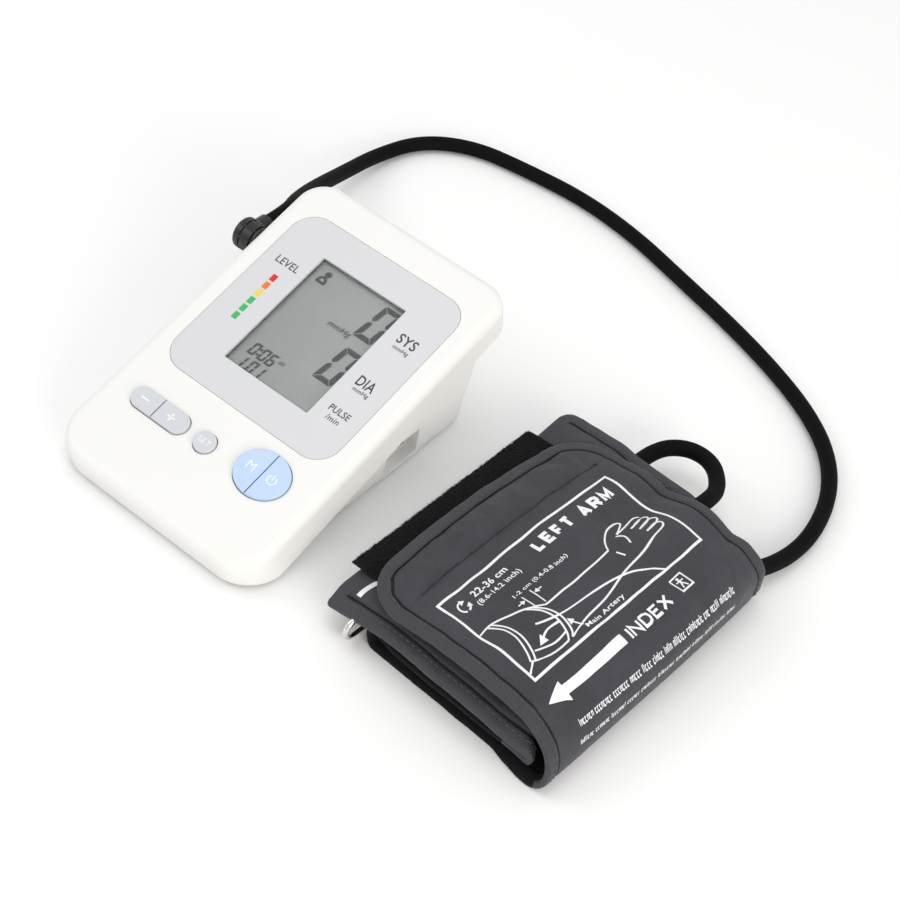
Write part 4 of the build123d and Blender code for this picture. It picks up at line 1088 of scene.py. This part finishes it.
tape_points, tape_faces = [], []
for level in (0, 1):
    for i in range(TAPE_ROWS + 1):
        y = HOOK_Y0 + (HOOK_Y1 - HOOK_Y0) * i / TAPE_ROWS
        for j in range(STRIDE):
            fray = 0.0 if j else 0.5 * wave(y * 0.7, 3.3, 0.0)
            x = HOOK_X0 + (HOOK_X1 - HOOK_X0) * j / TAPE_COLUMNS + fray
            drop = 0.6 * (1 - min(1.0, j / 2)) ** 2
            tape_points.append(on_cuff(x, y, hook_height(x, y) - (drop if level else HOOK_T)))
top = len(tape_points) // 2
for a in (i * STRIDE + j for i in range(TAPE_ROWS) for j in range(TAPE_COLUMNS)):
    square = (a, a + STRIDE, a + STRIDE + 1, a + 1)
    tape_faces += [square, tuple(k + top for k in reversed(square))]
rim = list(range(TAPE_COLUMNS)) + [i * STRIDE + TAPE_COLUMNS for i in range(TAPE_ROWS)]
rim += [TAPE_ROWS * STRIDE + j for j in range(TAPE_COLUMNS, 0, -1)]
rim += [i * STRIDE for i in range(TAPE_ROWS, 0, -1)]
tape_faces += [(a, b, b + top, a + top) for a, b in zip(rim, rim[1:] + rim[:1])]


def blade(points, faces, root, lean, width):
    """A three-sided hair from its root, in cuff millimetres, its tip kept above the floor."""
    start = len(points)
    tip = root + lean
    tip.z = max(tip.z, PIECE_CLEAR)
    along = (tip - root).normalized()
    side = along.cross(Vector((0.31, 0.17, 0.93))).normalized()
    other = along.cross(side)
    for turn in (0.0, 2.1, 4.2):
        points.append(on_cuff(*(root + (side * cos(turn) + other * sin(turn)) * width)))
    points.append(on_cuff(*tip))
    faces += [tuple(start + k for k in corners) for corners in ((0, 1, 3), (1, 2, 3), (2, 0, 3), (2, 1, 0))]


def chance(*ranges):
    """A random vector, drawn in the order of its three ranges."""
    return Vector([random.uniform(low, high) for low, high in ranges])


y = HOOK_Y0 + 0.6
while y < HOOK_Y1 - 0.4:
    x = HOOK_X0 + 0.4
    while x < HOOK_X0 + HOOK_REACH:
        root = Vector((x + random.uniform(-0.3, 0.3), y + random.uniform(-0.3, 0.3), hook_height(x, y) - 0.2))
        blade(tape_points, tape_faces, root, chance((-0.35, 0.35), (-0.35, 0.35), (0.9, 1.5)), 0.16)
        x += HOOK_ROW
    y += HOOK_ROW
for _ in range(LOOSE_HAIRS):
    y = random.uniform(HOOK_Y0, HOOK_Y1)
    root = Vector((HOOK_X0 + 0.2, y, hook_height(HOOK_X0, y) - random.uniform(0.2, 1.3)))
    blade(tape_points, tape_faces, root, chance((-1.1, -0.2), (-0.7, 0.7), (-0.3, 0.8)), 0.09)
hook_tape = new_object("hook_tape", tape_points, tape_faces, [hook_look], "cuff", smooth=False)
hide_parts("hook_strip")

fuzz_points, fuzz_faces = [], []
for _ in range(LOOP_HAIRS):
    s = random.uniform(FOLD_END + 2, BOTTOM_END + 5)
    share = random.choice((-1.0, -1.0, 1.0))
    inset = random.uniform(0.0, 2.6)
    w = share * (HALF_W - inset) / HALF_W
    normal = surface_normal(s, w, inset)
    if normal.z < 0:
        normal.negate()
    root = place_middle(s, w, inset) + normal * half_thickness(s, w, inset) * random.uniform(-0.6, 0.9)
    lean = chance((-0.5, 0.5), (0.1, 0.9), (0.0, 0.8))
    lean.y *= share
    blade(fuzz_points, fuzz_faces, root, lean, 0.10)
new_object("loop_fuzz", fuzz_points, fuzz_faces, [loop_look], "cuff", smooth=False)

# --- White printing on the cuff ---
def s_at(x):
    """Distance along the strip where its middle line first reaches x."""
    s = 0.0
    while s < 110.0 and middle(s, 0.0).x < x:
        s += 0.25
    return s


FLAP_X = {x: s_at(x) for x in range(88, 187)}


def flap_s(x):
    """Distance along the strip for an x on the flap; past the fold it counts on."""
    if x >= 186:
        return FLAP_X[186] + (x - 186)
    low = int(floor(x))
    return FLAP_X[low] + (FLAP_X[low + 1] - FLAP_X[low]) * (x - low)


def printed(s, y, height, side):
    """Metres: a spot of a print on the outer (+1) or inner (-1) side of the strip."""
    w = w_at(s, y)
    distance = min(HALF_W * (1 - abs(w)), s, STRIP_L - s)
    return on_cuff(*on_side(s, w, distance, side, PRINT_GAP + height)[0])


def flap_place(y, x, height):
    """Flat print coordinates (y along the cuff's width, -x across) on the flap's top."""
    return printed(flap_s(-x), y, height, 1.0)


def end_place(y, x, height):
    """The same on top of the strip's other end."""
    return printed(STRIP_L - END_STRETCH * (-x - END_X), y, height, -1.0)


cuff_print = Drawing()
FRAME_X0, FRAME_X1, FRAME_Y0, FRAME_Y1 = 116.3, 163.6, -39.8, 59.8
frame_corners = [(y, -x) for x, y in ((FRAME_X0, FRAME_Y0), (FRAME_X0, FRAME_Y1),
                                      (FRAME_X1, FRAME_Y1), (FRAME_X1, FRAME_Y0))]
cuff_print.stroke(frame_corners, 1.05, closed=True)
cuff_print.block("LEFT ARM", (32.6, -123.1), 47.4, 6.0, 1.55)
for label in (("22-36 cm", (-16.2, -121.8), 19.6, 3.3, 0.022),
              ("(8.6-14.2 inch)", (-15.9, -126.7), 24.0, 3.0, 0.014),
              ("1-2 cm (0.4-0.8 inch)", (-0.9, -134.0), 31.0, 2.3, 0.012),
              ("Main Artery", (3.4, -161.0), 21.6, 2.5, 0.014)):
    cuff_print.text(*label)

# Outstretched left arm, palm up
LINE_W = 0.75
arm_lines = [
    [(-39.2, -136.6), (-32.6, -136.2), (-25, -137.8), (-17.6, -140.6), (-11, -144.4)],
    [(-11, -144.4), (4, -144.5), (27.5, -143.8)],
    [(27.5, -143.8), (30.6, -139.6), (36, -136.2), (42, -135.7), (44.2, -137.4), (41.2, -139.2),
     (37.6, -140.6)],
    [(37.6, -140.6), (44, -140.2), (50.4, -138.9), (52.8, -140.2), (50.6, -142), (44, -143)],
    [(45, -143), (52.4, -141.4), (55.2, -142.8), (53.2, -144.5), (45.6, -145.6)],
    [(45.6, -145.6), (53.6, -144.3), (56.4, -145.9), (54.4, -147.6), (46.2, -148.3)],
    [(46.2, -148.3), (52.8, -147.6), (55, -149.2), (52.6, -150.9), (46, -151.6), (38, -153.2), (28, -153.9),
     (19.7, -154.9), (8, -157.2), (-4, -157.9), (-14.6, -160.6)],
    [(36.4, -141), (38.6, -143.8), (36.8, -147.6)],
    [(29, -146.4), (30.4, -149.6)],
    [(-39.2, -161), (-34.6, -157.8)],
    # Two edges of the cuff drawn round the upper arm, each a double line, and its lower edge
    [(-34.6, -136.2), (-31.6, -141.2), (-31, -147), (-33, -153.4), (-35.4, -157.6)],
    [(-32.6, -136.2), (-29.6, -141.2), (-29, -147.6), (-31, -154.2), (-33.4, -158.2)],
    [(-18.2, -140.4), (-14.6, -145.4), (-13.4, -151.6), (-14.6, -157), (-17, -160.6)],
    [(-16.2, -141.4), (-12.6, -146.2), (-11.4, -152), (-12.4, -157.4), (-14.6, -160.6)],
    [(-35.4, -157.6), (-27, -160.6), (-17, -160.6)],
    [(-30.4, -155.2), (-22, -157.6), (-14.8, -157)],
    # Artery
    [(37.4, -163.2), (31, -158.6), (22.6, -155.2), (9.9, -152.6), (-4, -151.6), (-13.4, -150.2),
     (-20.8, -147.4)],
]
for line in arm_lines:
    cuff_print.stroke(flowing(*line), LINE_W)
# Circular arrow beside the arm size, the artery's arrow, the gap between the cuff and the elbow, and
# a figure of a person in a square
for line, weight in (
    (arc((-33.0, -123.4), 2.4, 60, 255, 14, 1.1), 0.8), (arc((-32.7, -123.6), 2.2, 275, 335, 8, 1.1), 0.8),
    (flowing((-13.4, -152.6), (-19.0, -151.8), (-23.6, -153.4)), 0.9),
    ([(-7.8, -159.4), (-9.8, -156.0)], 0.6),
    ([(-14.4, -135.8), (-14.4, -143.4)], 0.5), ([(-9.8, -135.8), (-9.8, -143.4)], 0.5),
    ([(-16.7, -137.8), (-18.6, -137.8)], 0.5), ([(-7.5, -137.8), (-5.6, -137.8)], 0.5),
    ([(36.8, -170.1), (36.8, -172.0)], 1.1), ([(34.8, -170.8), (38.8, -170.8)], 0.5),
    ([(36.6, -171.7), (35.4, -173.7)], 0.6), ([(37.0, -171.7), (38.2, -173.7)], 0.6)):
    cuff_print.stroke(line, weight)
cuff_print.stroke([(33.4, -168.0), (40.2, -168.0), (40.2, -174.4), (33.4, -174.4)], 0.65, closed=True)
cuff_print.disc((36.8, -169.4), 0.7)
for corners in (  # heads of the small arrows, and the index arrow
    [(-32.9, -119.7), (-30.6, -121.3), (-33.2, -122.6)], [(-31.9, -124.3), (-29.6, -123.0), (-29.8, -125.5)],
    [(-27.0, -155.0), (-23.2, -151.2), (-22.4, -155.4)], [(-10.6, -153.6), (-11.2, -156.6), (-8.6, -155.6)],
    [(-14.9, -137.8), (-16.7, -136.7), (-16.7, -138.9)], [(-9.3, -137.8), (-7.5, -136.7), (-7.5, -138.9)],
    [(-1.0, -171.0), (-33.6, -171.0), (-33.6, -168.9), (-42.2, -173.0), (-33.6, -177.1), (-33.6, -175.0),
     (-1.0, -175.0)]):
    cuff_print.polygon(corners)
cuff_print.block("INDEX", (14.6, -172.9), 25.4, 5.0, 1.0)
# Two rows of small marks in groups, in place of small print
MARKS = (
    [(0.0, -0.6), (0.12, 0.6), (0.75, 0.6), (0.63, -0.6)],
    [(0.7, -0.6), (0.05, -0.6), (0.15, 0.6), (0.8, 0.6)],
    [(0.0, -0.6), (0.22, 1.3)], [(0.7, 0.6), (0.05, 0.55), (0.0, -0.6), (0.65, -0.55)])
MARK_WIDTH, MARK_GAP, GROUP_GAP = 0.27, 0.45, 0.9
random.seed(5)
for row_x, y, last in ((-183.6, -36.0, 47.0), (-187.4, -38.0, 50.0)):
    while y < last:
        for _ in range(random.randint(3, 10)):
            mark = random.choice(MARKS)
            cuff_print.stroke([(y + a, row_x + b) for a, b in mark], MARK_WIDTH)
            y += mark[-1][0] + MARK_GAP
        y += GROUP_GAP
cuff_print.build("cuff_print", flap_place, [white_ink], "cuff", finest=1.6, thick=0.05)

# Part of a white mark on the other end, where it comes out from under the flap
end_print = Drawing()
end_print.stroke(flowing((-49.3, -89.2), (-44.6, -89.3), (-39.6, -90.4), (-35.0, -92.6)), 2.1)
for dash_x, dash_l in ((107.4, 2.6), (112.6, 0.9), (116.2, 1.0)):
    end_print.stroke([(-45.6, -dash_x), (-45.6, -dash_x - dash_l)], 0.9)
end_print.build("end_print", end_place, [white_ink], "cuff", finest=1.6, thick=0.05)


# --- Floor and light ---
def area_light(name, place, target, size, power, color=(1, 1, 1)):
    data = bpy.data.lights.new(name, "AREA")
    data.shape = "DISK"
    data.size = size
    data.energy = power
    data.color = color
    lamp = added(name, data)
    lamp.location = place
    lamp.rotation_euler = (Vector(target) - Vector(place)).to_track_quat("-Z", "Y").to_euler()


area_light("softbox_top", (-0.1, 0.15, 1.3), (0.05, 0.05, 0.0), 1.0, 2.8)
area_light("softbox_left", (-1.0, -0.5, 0.9), (0.05, 0.0, 0.02), 0.8, 3.2)
area_light("softbox_right", (1.2, -0.5, 0.45), (0.1, 0.0, 0.02), 0.8, 7.8, (1.0, 0.968, 0.915))
world = bpy.data.worlds.new("studio")
world.use_nodes = True
background = world.node_tree.nodes["Background"]
background.inputs["Color"].default_value = (1, 1, 1, 1)
background.inputs["Strength"].default_value = 0.80
bpy.context.scene.world = world
bpy.context.scene.view_settings.view_transform = "Standard"

FLOOR_HALF, FLOOR_Z = 4.0, -0.0002
floor_mesh = bpy.data.meshes.new("floor")
corners = [(a * FLOOR_HALF, b * FLOOR_HALF, FLOOR_Z) for a, b in ((-1, -1), (1, -1), (1, 1), (-1, 1))]
floor_mesh.from_pydata(corners, [], [(0, 1, 2, 3)])
floor = added("floor", floor_mesh)
floor_look = Look("floor_paper", Roughness=0.9)
floor_look.color(floor_look.noise(3.0), (0.90, 0.90, 0.90), (0.92, 0.92, 0.92))
floor_mesh.materials.append(floor_look.material)
